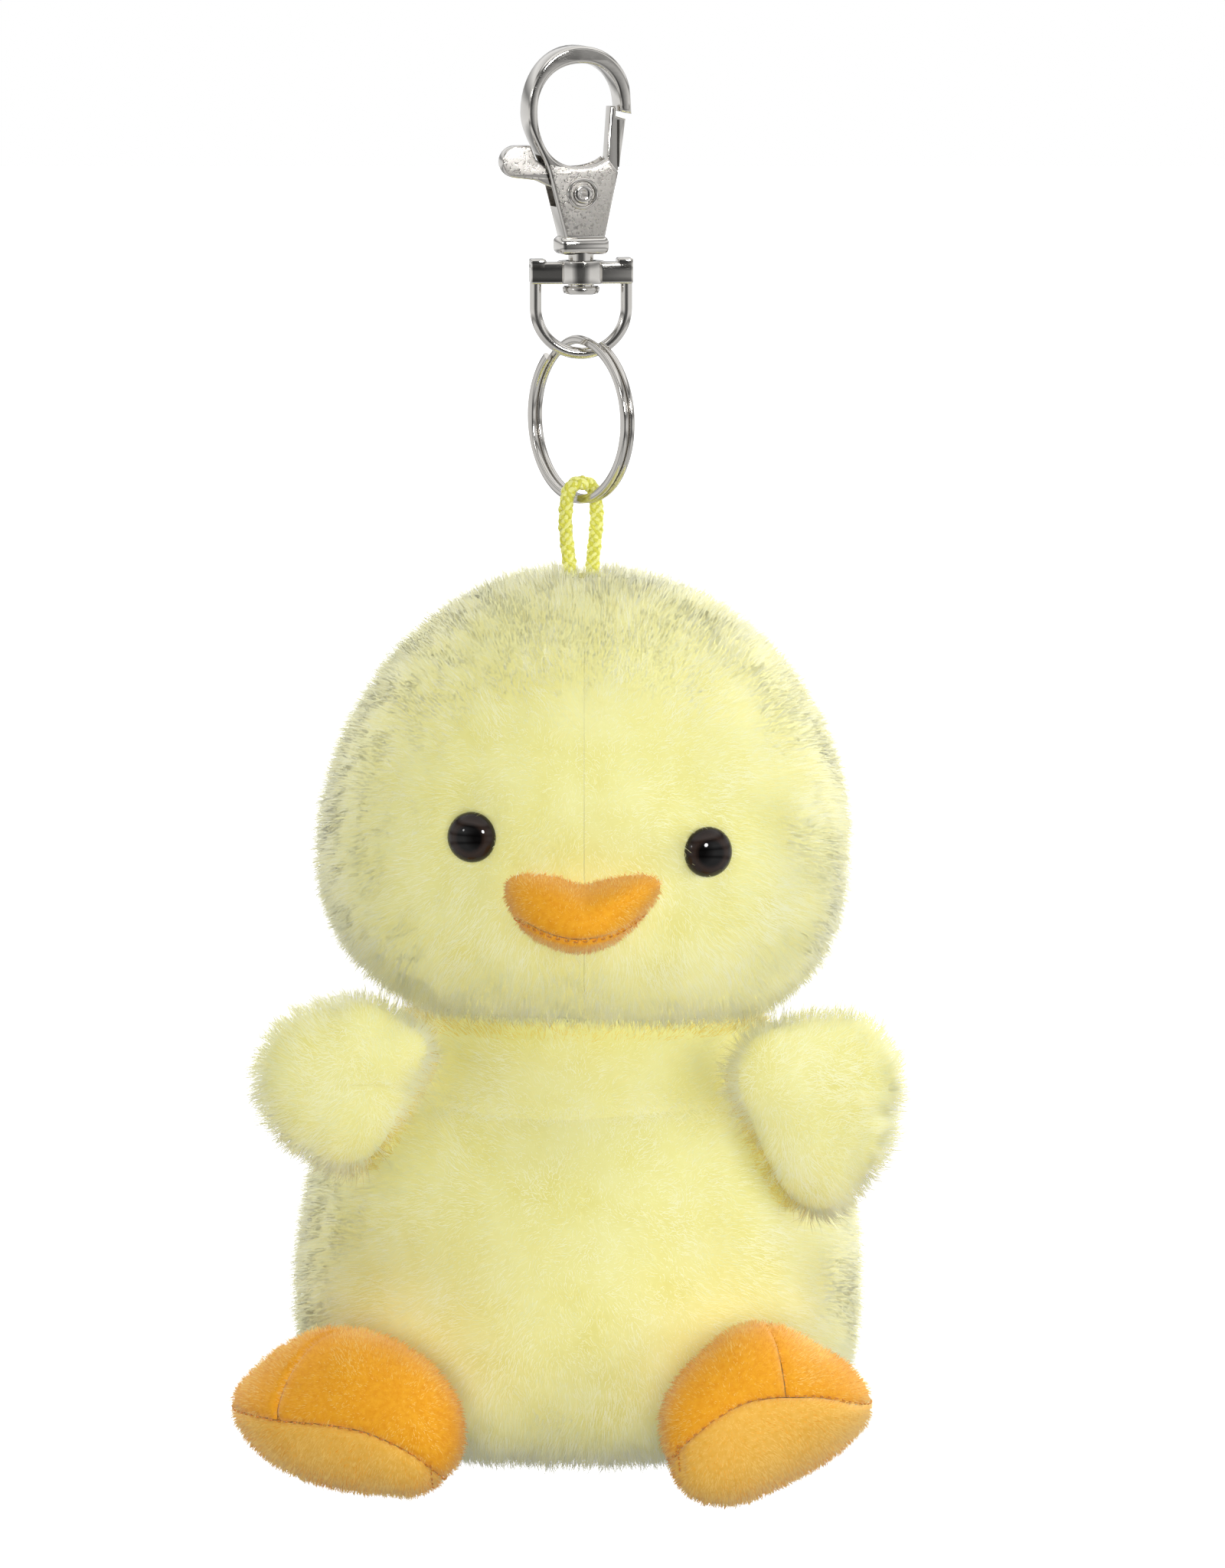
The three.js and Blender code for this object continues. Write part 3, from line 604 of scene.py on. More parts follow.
def needles_mesh(name, points, normals, tone):
    count = len(points)
    mesh = bpy.data.meshes.new(name)
    mesh.vertices.add(count * NEEDLE_POINTS)
    mesh.vertices.foreach_set("co", (points * MM).astype(np.float32).ravel())
    loops = (NEEDLE_LOOPS[None, :] + NEEDLE_POINTS * np.arange(count)[:, None]).ravel()
    sizes = np.tile(NEEDLE_SIZES, count)
    mesh.loops.add(len(loops))
    mesh.loops.foreach_set("vertex_index", loops.astype(np.int32))
    mesh.polygons.add(len(sizes))
    starts = np.concatenate([[0], np.cumsum(sizes)[:-1]])
    tones = np.repeat(tone, len(NEEDLE_FACES))
    mesh.polygons.foreach_set("loop_start", starts.astype(np.int32))
    mesh.polygons.foreach_set("material_index", tones.astype(np.int32))
    mesh.polygons.foreach_set("use_smooth", np.ones(len(sizes), bool))
    mesh.update(calc_edges=True)
    corner_normals = np.repeat(normals, NEEDLE_POINTS, axis=0)
    mesh.normals_split_custom_set_from_vertices(corner_normals.astype(np.float32))
    return mesh


def toward_front(normals):
    """Normals for pile at a form's rim, which takes light from the front as well as the side."""
    return unit(normals * [1, 0.5, 1] + [0, -0.35, 0])


def riding(body):
    return lambda obj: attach(obj, body)


FUR_DENSITY, FUR_LENGTH, FUR_WIDTH, FUR_LEAN = 9, 1.9, 0.08, 0.4
SKIN_INSET, SKIN_THICKNESS, SKIN_FILL = 0.15, 1.3, 0.8
SMALL_INSET, SMALL_THICKNESS, SMALL_FILL = 0.25, 0.8, 0.7  # for the small stuffed forms


def fur(name, places, normals, rng, join, length=FUR_LENGTH, lean=FUR_LEAN, **more):
    """The long pale pile."""
    pile(name, places, normals, rng, join, FUR_TONES, "pile_fabric", length, FUR_WIDTH, lean, **more)


def velour_pile(name, places, normals, rng, body, length, width, weights):
    """The short orange pile."""
    pile(name, places, normals, rng, riding(body), VELOUR_TONES, "velour_fabric", length, width, 0.5,
         swirl=0.6, clump=0.1, weights=weights, facing=toward_front(normals))


def lumps(points):
    """The uneven firmness of hand stuffing, in millimetres."""
    return 0.25 * waves(points, scale=30, seed=5)


def panel_longitudes(first, last, count):
    """Across a panel, with its edges turned in over a very narrow strip."""
    gap, strip = 0.0004, 0.0024
    low, high = RAD(first), RAD(last)
    inner = np.linspace(low + strip, high - strip, count)
    return np.concatenate([[low + gap], inner, [high - gap]])


# ---------------------------------------------------------------- head
EYE_X, EYE_SPACING, EYE_Z = 0.55, 13.9, 2.1
EYE_RADIUS = 3.05
CROWN_LATITUDE = 0.1
CHIN_FOLD_Z = -115.9


def head_surface(longitude, latitude, inset):
    directions = directions_from(longitude, latitude)
    distance = reach(HEAD, directions @ HEAD_TURN, inset)
    points = HEAD_CENTRE + directions * distance[:, None]
    return points + directions * lumps(points)[:, None]


def head_front(x, z):
    """The front of the head's form at a place across and up it, in the head's own frame."""
    power = HEAD["down_power"] if z < 0 else HEAD["up_power"]
    height = (abs(z) / (HEAD["down"] if z < 0 else HEAD["up"])) ** power
    across = (1 - height) ** (HEAD["plan"] / power)
    across -= (abs(x) / HEAD["half_width"]) ** HEAD["plan"]
    return -HEAD["front"] * across ** (1 / HEAD["plan"])


def eye_places():
    """Where the eyes sit on the head, and the way they look."""
    places = {}
    for side, sign in (("left", -1), ("right", 1)):
        x = EYE_X + sign * EYE_SPACING
        step = 0.5
        slope = (head_front(x + step, EYE_Z) - head_front(x - step, EYE_Z)) / (2 * step)
        point = HEAD_CENTRE + HEAD_TURN @ np.array([x, head_front(x, EYE_Z), EYE_Z])
        places[side] = (point, HEAD_TURN @ unit([slope, -1, 0]))
    return places


EYES = eye_places()


def inside(form, centre, frame_turn, points, grow=0.0):
    """Whether points lie inside a form grown by some millimetres."""
    local = (points - centre) @ frame_turn
    distance = np.linalg.norm(local, axis=1)
    return distance < reach(form, unit(local), -grow)


def in_chin_fold(places):
    """Whether points lie deep in the fold between the chin and the chest."""
    return np.abs(places[:, 2] - CHIN_FOLD_Z) < 0.9


def beside_wing(places):
    """Whether points lie in the fold round a wing."""
    near = [inside_flat(wing["form"], wing["centre"], places, grow=1.6) for wing in WINGS.values()]
    return near[0] | near[1]


def clear_of_face(places):
    """Keeps pile out of the eyes, the bill and the cord's hole."""
    keep = np.ones(len(places), bool)
    for point, outward in EYES.values():
        offset = places - point
        across = offset - np.outer(offset @ outward, outward)
        keep &= np.linalg.norm(across, axis=1) > EYE_RADIUS - 0.5
    keep &= ~inside_flat(BILL, BILL_CENTRE, places, grow=-0.3)
    crown = (np.hypot(places[:, 0], places[:, 1]) < 1.6) & (places[:, 2] > -70)
    return keep & ~crown


def head_panels():
    quarters = {
        "back_right": (0, 90), "back_left": (90, 180),
        "front_left": (180, 270), "front_right": (270, 360),
    }
    latitudes = np.concatenate([np.linspace(CROWN_LATITUDE, 0.5, 9)[:-1], np.linspace(0.5, math.pi, 64)])
    for seed, (quarter, (first, last)) in enumerate(quarters.items()):
        outer = grooved_shell(
            f"head_{quarter}", head_surface, HEAD_CENTRE, panel_longitudes(first, last, 52), latitudes,
            "head", f"head_panel_{quarter}", SKIN_INSET, SKIN_THICKNESS,
            dict(size=30, edges=("first", "last"), depth=0.06, width=1.4),
        )
        rng = np.random.default_rng(100 + seed)
        places, normal = scatter(outer, HEAD_CENTRE, FUR_DENSITY, rng)
        keep = clear_of_face(places)
        # Left panels get more of the greyer cool tone, painted shade on the side away from the key light;
        # fibres in the chin fold get painted fold shade.
        fur(
            f"head_{quarter}_pile", places[keep], normal[keep], rng, riding("head"),
            weights=[0.25, 0.3, 0.2, 0.25] if "left" in quarter else [0.35, 0.4, 0.17, 0.08],
            crease=in_chin_fold(places[keep]),
        )


# ---------------------------------------------------------------- torso
def torso_surface(longitude, latitude, inset):
    directions = directions_from(longitude, latitude)
    distance = reach(TORSO, directions, inset)
    rise = directions[:, 2]
    top = (SHOULDER_Z - TORSO_CENTRE[2] - inset) / np.maximum(rise, 1e-6)
    bottom = (SEAT_Z - TORSO_CENTRE[2] + inset) / np.minimum(rise, -1e-6)
    sharpness = 16  # of the turn into the flat top and bottom
    flat = np.where(rise > 0, top, bottom)
    distance = (distance**-sharpness + flat**-sharpness) ** (-1 / sharpness)
    points = TORSO_CENTRE + directions * distance[:, None]
    side = np.sin(latitude)[:, None]
    return points + directions * lumps(points)[:, None] * side


def torso_panels():
    panels = {"back_right": (0, 90), "back_left": (90, 180), "front": (180, 360)}
    latitudes = np.linspace(0, math.pi, 90)
    for seed, (panel, (first, last)) in enumerate(panels.items()):
        outer = grooved_shell(
            f"torso_{panel}", torso_surface, TORSO_CENTRE,
            panel_longitudes(first, last, (last - first) // 2 + 6), latitudes, "torso",
            f"torso_panel_{panel}", SKIN_INSET, SKIN_THICKNESS,
            dict(size=32, edges=("first", "last"), depth=0.45, width=1.0),
        )
        rng = np.random.default_rng(200 + seed)
        places, normal = scatter(outer, TORSO_CENTRE, FUR_DENSITY, rng)
        short = np.where(places[:, 2] < SEAT_Z + 0.9, 0.35, 1.0)
        left = places[:, 0] < 0
        halves = [left, ~left] if panel == "front" else [np.ones(len(places), bool)]
        for part, half in enumerate(halves):
            # The left and back-left panels get more of the greyer cool tone: painted shade on the side
            # away from the key light. Fibres beside the wings get painted fold shade.
            shaded = panel == "back_left" or (panel == "front" and part == 0)
            fur(
                f"torso_{panel}_pile_{'ab'[part]}", places[half], normal[half], rng, riding("torso"),
                length=FUR_LENGTH * short[half][:, None],
                weights=[0.25, 0.32, 0.2, 0.23] if shaded else [0.33, 0.4, 0.18, 0.09],
                crease=beside_wing(places[half]),
            )


# ---------------------------------------------------------------- small stuffed forms
def flat_surface(form, centre, front_pole=False):
    """A flat form's surface. Its poles are up and down, or else front and back."""
    def surface(longitude, latitude, inset):
        directions = directions_from(longitude, latitude)
        if front_pole:
            directions = directions @ turn("X", RAD(90)).T
        return flat_points(form, centre, directions, inset)
    return surface


def seam_latitudes(surface, centre, heights, longitudes):
    """Where a seam round a form, given by its height at places across it, crosses each longitude."""
    across, height = np.array(heights).T
    tries = np.linspace(0.15, math.pi - 0.08, 240)
    found = []
    for longitude in longitudes:
        points = surface(np.full(len(tries), longitude), tries, SMALL_INSET) - centre
        wanted = sum(np.interp(points[:, 0] + shift, across, height) for shift in (-1, 0, 1)) / 3
        below = np.nonzero(points[:, 2] < wanted)[0]
        found.append(tries[below[0]] if len(below) else tries[-1])
    smooth = np.array(found)
    for _ in range(3):
        smooth[1:-1] = (smooth[:-2] + 2 * smooth[1:-1] + smooth[2:]) / 4
    smooth[0] = smooth[-1] = (smooth[1] + smooth[-2]) / 2
    return smooth


def grid_to_seam(surface, longitudes, top, bottom, rows, inset):
    """A grid between two curves on a surface, each given by its latitude at every longitude."""
    share = np.linspace(0, 1, rows)
    latitude = np.asarray(top)[:, None] * (1 - share) + np.asarray(bottom)[:, None] * share
    longitude = np.repeat(np.asarray(longitudes)[:, None], rows, axis=1)
    flat = surface(longitude.ravel(), latitude.ravel(), inset)
    return flat.reshape(len(longitudes), rows, 3)


def pulled_in(grid, centre, seams, depth, width):
    """The grid with its cloth drawn in along seam lines."""
    lines = np.concatenate(seams)
    points = grid.reshape(-1, 3)
    nearest = np.full(len(points), np.inf)
    for start in range(0, len(lines), 64):
        apart = np.linalg.norm(points[:, None] - lines[None, start : start + 64], axis=2)
        nearest = np.minimum(nearest, apart.min(axis=1))
    pull = depth * np.exp(-((nearest / width) ** 2)).reshape(grid.shape[:2])
    return grid - grid_normals(grid, centre) * pull[..., None]


def sewn_shell(name, surface, centre, longitudes, top, bottom, rows, seams, body, replaces,
               material, thickness=SMALL_THICKNESS, depth=0.4, width=0.6):
    """A padded piece of velour between two seams, drawn in along seam lines. It gives back its
    outer grid."""
    outer = grid_to_seam(surface, longitudes, top, bottom, rows, SMALL_INSET)
    outer = pulled_in(outer, centre, seams, depth, width)
    inner = grid_to_seam(surface, longitudes, top, bottom, rows, SMALL_INSET + thickness)
    padded_shell(name, outer, inner, body, replaces, material)
    return outer


def wings():
    for seed, (side, wing) in enumerate(WINGS.items()):
        form, centre, body = wing["form"], wing["centre"], f"wing_{side}"
        surface = flat_surface(form, centre, front_pole=True)
        longitudes = np.linspace(0, 2 * math.pi, 81)
        for half in ("front", "back"):
            front = half == "front"
            latitudes = np.linspace(0, 0.5, 26) if front else np.linspace(0.5, 1, 26)
            latitudes = latitudes * math.pi + (0 if front else 0.004)
            outer = grooved_shell(
                f"{body}_{half}_cloth", surface, centre, longitudes, latitudes, body, f"{body}_{half}",
                SMALL_INSET, SMALL_THICKNESS,
                dict(size=9, edges=("bottom" if front else "top",), depth=0.25, width=0.7),
            )
            rng = np.random.default_rng(300 + 10 * seed + (not front))
            places, normal = scatter(outer, centre, FUR_DENSITY * 1.6, rng)
            keep = ~inside(TORSO, TORSO_CENTRE, np.eye(3), places + normal, grow=1.5)
            places, normal = places[keep], normal[keep]
            # The left wing gets more of the greyer cool tone, painted shade on the side away from the key
            # light; fibres near the body get painted fold shade.
            fur(
                f"{body}_{half}_pile", places, normal, rng, riding(body),
                length=FUR_LENGTH * 1.25, lean=FUR_LEAN * 1.2,
                comb=(-0.8 if side == "left" else 0.8, 0, 0.1), swirl=0.7, clump=0.3,
                weights=[0.34, 0.42, 0.14, 0.1] if side == "right" else [0.3, 0.4, 0.14, 0.16],
                facing=toward_front(normal),
                crease=inside(TORSO, TORSO_CENTRE, np.eye(3), places, grow=2.6),
            )


FOOT_HINGES = {"left": (-23.5, -18.5, -159.9), "right": (18.0, -20.5, -160.3)}
WING_HINGES = {
    "left": ((-22.7, -13.8, -125.3), (0.4876, -0.0685, 0.8704)),
    "right": ((22.75, -15.0, -128.6), (-0.385, -0.054, 0.921)),
}


def feet():
    for seed, (side, foot) in enumerate(FEET.items()):
        form, centre, body = foot["form"], foot["centre"], f"foot_{side}"
        surface = flat_surface(form, centre)
        rng = np.random.default_rng(400 + seed)
        first, last = (RAD(angle) for angle in foot["outer"])
        round_about = np.linspace(0, 2 * math.pi, 121)
        seam = seam_latitudes(surface, centre, foot["seam"], round_about)

        def seam_at(longitudes):
            return np.interp(longitudes % (2 * math.pi), round_about, seam)

        perimeter = surface(round_about, seam, SMALL_INSET)
        toe = [
            surface(np.full(60, angle), np.linspace(0, 1, 60) * seam_at(np.array([angle])), SMALL_INSET)
            for angle in (first, last)
        ]
        dart_top = np.array([10.1, -5.0]) if side == "left" else np.array([-10.6, -2.6])
        dart = np.array([surface_front(form, centre, dart_top[0] + 0.25 * t / 3, dart_top[1] - t)
                         for t in np.linspace(0, 3.6, 24)])
        seams = [perimeter, *toe, dart]
        gap = 0.006
        pieces = {
            "sole": (round_about, seam + 0.012, np.full(121, math.pi), velour_sole),
            "upper_outer": (np.linspace(first + gap, last - gap, 49), None, None, velour),
            "upper_inner": (np.linspace(last + gap, first + 2 * math.pi - gap, 97), None, None, velour),
        }
        for piece, (longitudes, top, bottom, material) in pieces.items():
            if piece != "sole":
                top, bottom = np.zeros(len(longitudes)), seam_at(longitudes)
            outer = sewn_shell(
                f"{body}_{piece}_cloth", surface, centre, longitudes, top, bottom, 34, seams, body,
                f"{body}_{piece}", material,
            )
            places, normal = scatter(outer, centre, density=9, rng=rng)
            velour_pile(
                f"{body}_{piece}_pile", places, normal, rng, body, length=0.7, width=0.09,
                weights=[0.6, 0.3, 0.1] if piece == "sole" else [0.3, 0.45, 0.25],
            )
        stitches(f"{body}_stitches", perimeter, centre, count=60, length=0.5, body=body)
        stitches(f"{body}_dart_stitches", dart, centre, count=5, length=0.45, body=body)


def surface_front(form, centre, x, z):
    """The front of a flat form at a place across and up it."""
    side = outline_reach(form["outline"], np.arctan2(z, x))
    share = min(math.hypot(x, z) / float(side), 0.999)
    y = -form["front"] * (1 - share ** form["power"]) ** (1 / form["power"])
    return centre + np.array([x, y + slant(form, x, z) + SMALL_INSET, z])


def bill():
    surface = flat_surface(BILL, BILL_CENTRE)
    rng = np.random.default_rng(500)
    round_about = np.linspace(0, 2 * math.pi, 145)
    seam = seam_latitudes(surface, BILL_CENTRE, BILL_SEAM, round_about)
    line = surface(round_about, seam, 0.2)
    halves = {
        "upper": (np.zeros(145), seam, 34), "lower": (seam + 0.02, np.full(145, math.pi), 22),
    }
    for half, (top, bottom, rows) in halves.items():
        outer = sewn_shell(
            f"bill_{half}_cloth", surface, BILL_CENTRE, round_about, top, bottom, rows, [line],
            "head", f"bill_{half}", velour, thickness=0.6, depth=0.45, width=0.4,
        )
        places, normal = scatter(outer, BILL_CENTRE, density=10, rng=rng)
        keep = ~inside(HEAD, HEAD_CENTRE, HEAD_TURN, places, grow=-0.3)
        velour_pile(
            f"bill_{half}_pile", places[keep], normal[keep], rng, "head", length=0.55, width=0.08,
            weights=[0.3, 0.45, 0.25],
        )
    front = line[(round_about > RAD(182)) & (round_about < RAD(358))]
    stitches("bill_stitches", front, BILL_CENTRE, count=22, length=0.5, body="head")


def tail():
    def surface(longitude, latitude, inset):
        directions = directions_from(longitude, latitude)
        local = directions * reach(TAIL, directions, inset)[:, None]
        return TAIL_CENTRE + local @ TAIL_TURN.T

    outer = grooved_shell(
        "tail_cloth", surface, TAIL_CENTRE, np.linspace(0, 2 * math.pi, 41), np.linspace(0, math.pi, 24),
        "torso", "tail", SMALL_INSET, 0.7, dict(size=5, edges=(), depth=0, width=1),
    )
    rng = np.random.default_rng(600)
    places, normal = scatter(outer, TAIL_CENTRE, FUR_DENSITY, rng)
    fur("tail_pile", places, normal, rng, riding("torso"), comb=(0, 1, 0.4))


# ---------------------------------------------------------------- eyes
def lathe(profile, around, place=(0, 0, 0), face=(0, 0, 1)):
    """A solid of revolution. The profile's radius and height run from axis to axis."""
    points = []
    for radius, height in profile:
        for k in range(around):
            angle = 2 * math.pi * k / around
            points.append((radius * math.cos(angle), radius * math.sin(angle), height))
    rotation = np.array(Vector((0, 0, 1)).rotation_difference(Vector(face)).to_matrix())
    placed = np.array(points) @ rotation.T + np.asarray(place)
    return mesh_from("lathe", placed, tube_faces(len(profile), around))


def eyes():
    material = eye_plastic()
    for side, (point, outward) in EYES.items():
        back, rise, shank, length = 0.35, 2.0, 1.0, 6.0
        profile = [(0, -length), (shank, -length), (shank, back), (EYE_RADIUS - 0.3, back)]
        for i in range(15):
            angle = i / 14 * math.pi / 2
            profile.append((EYE_RADIUS * math.cos(angle), back + 0.3 + rise * math.sin(angle)))
        profile[-1] = (0, back + 0.3 + rise)
        mesh = lathe(profile, 40, point, outward)
        layer = mesh.uv_layers.new(name="UVMap")
        look = unit(outward + np.array([0, -1.5, 0]))
        for loop in mesh.loops:
            offset = np.array(mesh.vertices[loop.vertex_index].co) / MM - point - outward
            across = offset - look * (offset @ look)
            layer.data[loop.index].uv = (min(np.linalg.norm(across) / EYE_RADIUS, 0.999), 0.5)
        new_object(f"eye_{side}_dome", mesh, "head", (f"eye_{side}",), [material])


# ---------------------------------------------------------------- cord
RING_TURN = RAD(-54.5)
ACROSS_RING = np.array([-math.sin(RING_TURN), math.cos(RING_TURN)])
CORD_ROUTE = [
    (-1.45, -66), (-1.5, -64), (-1.6, -62), (-1.8, -60), (-2.15, -57.5), (-2.3, -55.2),
    (-2.15, -53.1), (-1.6, -51.35), (0, -50.75), (1.6, -51.35), (2.15, -53.1), (2.3, -55.2),
    (2.15, -57.5), (1.8, -60), (1.6, -62), (1.5, -64), (1.45, -66),
]
CORD_RADIUS = 0.85


def smooth_route(points, steps):
    """An evenly stepped smooth line through points."""
    points = np.asarray(points, float)
    padded = np.concatenate([[2 * points[0] - points[1]], points, [2 * points[-1] - points[-2]]])
    line = [
        smooth_step(*padded[i - 1 : i + 3], t)
        for i in range(1, len(padded) - 2)
        for t in np.linspace(0, 1, 30, endpoint=False)
    ]
    line = np.array(line + [points[-1]])
    distance = distances(line)
    return along_line(line, distance, np.linspace(0, distance[-1], steps)), distance[-1]


def carried_frames(line, first_side):
    """Sideways directions carried along a line without twisting, and those across both."""
    tangents = unit(np.gradient(line, axis=0))
    sides = [unit(np.asarray(first_side) - tangents[0] * np.dot(first_side, tangents[0]))]
    for tangent in tangents[1:]:
        sides.append(unit(sides[-1] - tangent * np.dot(sides[-1], tangent)))
    sides = np.array(sides)
    return sides, np.cross(tangents, sides)


def sweep(line, first_side, section, closed_ends=True):
    """A tube along a line. The section's points are across the line, in millimetres."""
    sides, others = carried_frames(line, first_side)
    points = np.concatenate([
        line[i] + np.outer(section[:, 0], sides[i]) + np.outer(section[:, 1], others[i])
        for i in range(len(line))
    ])
    return mesh_from("tube", points, tube_faces(len(line), len(section), closed_ends))


def circle_section(radius_x, radius_y, sides):
    angles = np.arange(sides) * 2 * math.pi / sides
    return np.stack([radius_x * np.cos(angles), radius_y * np.sin(angles)], axis=1)


def cord():
    """Eight yarns, four each way, that go over and under each other round a core."""
    points = [(s * ACROSS_RING[0], s * ACROSS_RING[1], z) for s, z in CORD_ROUTE]
    line, length = smooth_route(points, 260)
    first_side = (ACROSS_RING[1], -ACROSS_RING[0], 0)
    sides, others = carried_frames(line, first_side)
    along = np.linspace(0, length, len(line))
    core, yarn, pitch = 0.52, 0.27, 4.2
    meshes = [sweep(line, first_side, circle_section(core, core, 10))]
    for way in (1, -1):
        for k in range(4):
            angle = way * 2 * math.pi * along / pitch + k * math.pi / 2
            weave = np.cos(4 * 2 * math.pi * along / pitch + (math.pi if way < 0 else 0) + k * math.pi)
            radius = CORD_RADIUS - yarn - 0.02 + 0.07 * weave
            offset = sides * np.cos(angle)[:, None] + others * np.sin(angle)[:, None]
            yarn_line = line + offset * radius[:, None]
            mesh = sweep(yarn_line, (0.3, 0.5, 0.8), circle_section(yarn * 1.25, yarn * 0.95, 7))
            for material in cord_tones:
                mesh.materials.append(material)
            for polygon in mesh.polygons:
                polygon.material_index = 1 if way > 0 else 0
            meshes.append(mesh)
    whole = join_meshes("cord_braid", meshes)
    braid = new_object("cord_braid", whole, None, ("cord_loop",), cord_tones)
    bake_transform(braid)
    path = [tuple(float(v) * MM for v in p) for p in [*line[::6], line[-1]]]


# ---------------------------------------------------------------- hardware
CLASP_TURN = turn("Z", RAD(16.5))
SHACKLE_TURN = turn("Z", RAD(6))
SHACKLE_HALF_WIDTH, SHACKLE_BEND_Z = 5.5, -29.6
PIVOT = (-0.4, 0, -15.7)  # of the lever
CURVE_STEPS = 14  # along each curved part of an outline


def bezier_outline(start, parts):
    """Points along an outline of straight and curved parts."""
    points = [np.array(start, float)]
    for part in parts:
        corners = np.array(part, float).reshape(-1, 2)
        if len(corners) == 1:
            points.append(corners[0])
            continue
        a, (b, c, d) = points[-1], corners
        for t in np.linspace(0, 1, CURVE_STEPS + 1)[1:]:
            points.append(
                a * (1 - t) ** 3 + 3 * b * t * (1 - t) ** 2 + 3 * c * t**2 * (1 - t) + d * t**3
            )
    return np.array(points)


def arc(centre, radius, first, last):
    angles = np.radians(np.linspace(first, last, CURVE_STEPS + 1))
    return [(centre[0] + radius * math.cos(a), centre[1] + radius * math.sin(a)) for a in angles]


def rounded_plate(outline, depth, edge, frame_turn):
    """A plate in x and z with rounded edges, centred on y = 0."""
    curve = bpy.data.curves.new("plate", "CURVE")
    curve.dimensions = "2D"
    curve.fill_mode = "BOTH"
    curve.extrude = (depth / 2 - edge) * MM
    curve.bevel_depth = edge * MM
    curve.bevel_resolution = 3
    curve.offset = -edge * MM
    spline = curve.splines.new("POLY")
    spline.points.add(len(outline) - 1)
    for point, (x, z) in zip(spline.points, outline):
        point.co = (x * MM, z * MM, 0, 1)
    spline.use_cyclic_u = True
    carrier = in_scene("plate", curve)
    graph = bpy.context.evaluated_depsgraph_get()
    mesh = bpy.data.meshes.new_from_object(carrier.evaluated_get(graph))
    bpy.data.objects.remove(carrier)
    bpy.data.curves.remove(curve)
    mesh.transform(Matrix(frame_turn.tolist()).to_4x4() @ Matrix.Rotation(math.pi / 2, 4, "X"))
    return edit_mesh(mesh, merge_points(1e-3 * MM))


def cut(mesh, tools):
    """The mesh less each tool mesh."""
    base = in_scene("base", mesh)
    cutters = [in_scene("cutter", tool) for tool in tools]
    for cutter in cutters:
        modifier = base.modifiers.new("cut", "BOOLEAN")
        modifier.operation = "DIFFERENCE"
        modifier.solver = "EXACT"
        modifier.object = cutter
    graph = bpy.context.evaluated_depsgraph_get()
    result = bpy.data.meshes.new_from_object(base.evaluated_get(graph))
    for used in (base, *cutters):
        bpy.data.objects.remove(used)
    return result


def soften(mesh, degrees=32):
    """Smooth shading with sharp edges kept where faces meet at more than an angle."""
    def change(built):
        for face in built.faces:
            face.smooth = True
        for edge in built.edges:
            edge.smooth = len(edge.link_faces) == 2 and edge.calc_face_angle(0) < RAD(degrees)
    return edit_mesh(mesh, change)


def box_mesh(low, high, frame_turn, edge=0.0):
    built = bmesh.new()
    bmesh.ops.create_cube(built, size=1)
    for vertex in built.verts:
        for k in range(3):
            vertex.co[k] = (low[k] if vertex.co[k] < 0 else high[k]) * MM
    if edge:
        bmesh.ops.bevel(
            built, geom=built.edges[:], offset=edge * MM, segments=3, affect="EDGES", profile=0.5
        )
    mesh = bpy.data.meshes.new("box")
    built.to_mesh(mesh)
    built.free()
    return turned(mesh, frame_turn)


def rod_mesh(radius, low, high, frame_turn, around, place=(0, 0, 0), direction=(0, 0, 1)):
    """A round rod with softened ends. Low and high are along its own axis."""
    edge = 0.15
    flat = radius - edge
    starts, ends = np.linspace(0.3, math.pi / 2, 4), np.linspace(0, math.pi / 2 - 0.3, 4)
    profile = [(0, low), (flat, low)]
    profile += [(flat + edge * math.sin(a), low + edge - edge * math.cos(a)) for a in starts]
    profile += [(flat + edge * math.cos(a), high - edge + edge * math.sin(a)) for a in ends]
    profile += [(flat, high), (0, high)]
    return turned(lathe(profile, around, place, direction), frame_turn)


HOOK_OUTLINE = bezier_outline(
    (-2.45, -21.2),
    [
        (-4.45, -13.4), (-5.2, -10.8, -7.15, -8.6, -7.15, -6), (-7.15, -1.4, -4.4, 2.1, -0.6, 2.1),
        (3.2, 2.1, 5.75, -0.8, 5.75, -4.4), (5.85, -6.2), (4.45, -5.9),
        (4.45, -2, 2.5, 0, -0.4, 0), (-3.8, 0, -5.95, -2.4, -5.95, -5.8),
        (-5.95, -9.2, -4.4, -12.5, -0.7, -12.5), (0.8, -12.5, 2, -12.1, 2.9, -11.4),
        (4.2, -13.2), (2.5, -21.2),
    ],
)
CAVITY_OUTLINE = [
    (-0.6, -9.8), (9, -9.8), (9, -14.4), (3, -14.4), (1.7, -19.6), (-2.35, -19.6), (-2.9, -17.3),
    (-9, -17.3), (-9, -11.1), (-4.9, -11.1), (-3.5, -12.6), (-0.9, -13.4),
]


def cavity_mesh():
    """The room for the lever between the housing's front and rear walls."""
    half, count = 1.3, len(CAVITY_OUTLINE)
    points = [(x, y, z) for y in (-half, half) for x, z in CAVITY_OUTLINE]
    faces = [tuple(range(count)), tuple(range(2 * count - 1, count - 1, -1))]
    for k in range(count):
        following = (k + 1) % count
        faces.append((k, k + count, following + count, following))
    return turned(mesh_from("cavity", points, faces, smooth=False), CLASP_TURN)


def rivet_hole():
    return rod_mesh(1.1, -3, 3, CLASP_TURN, 32, PIVOT, (0, 1, 0))


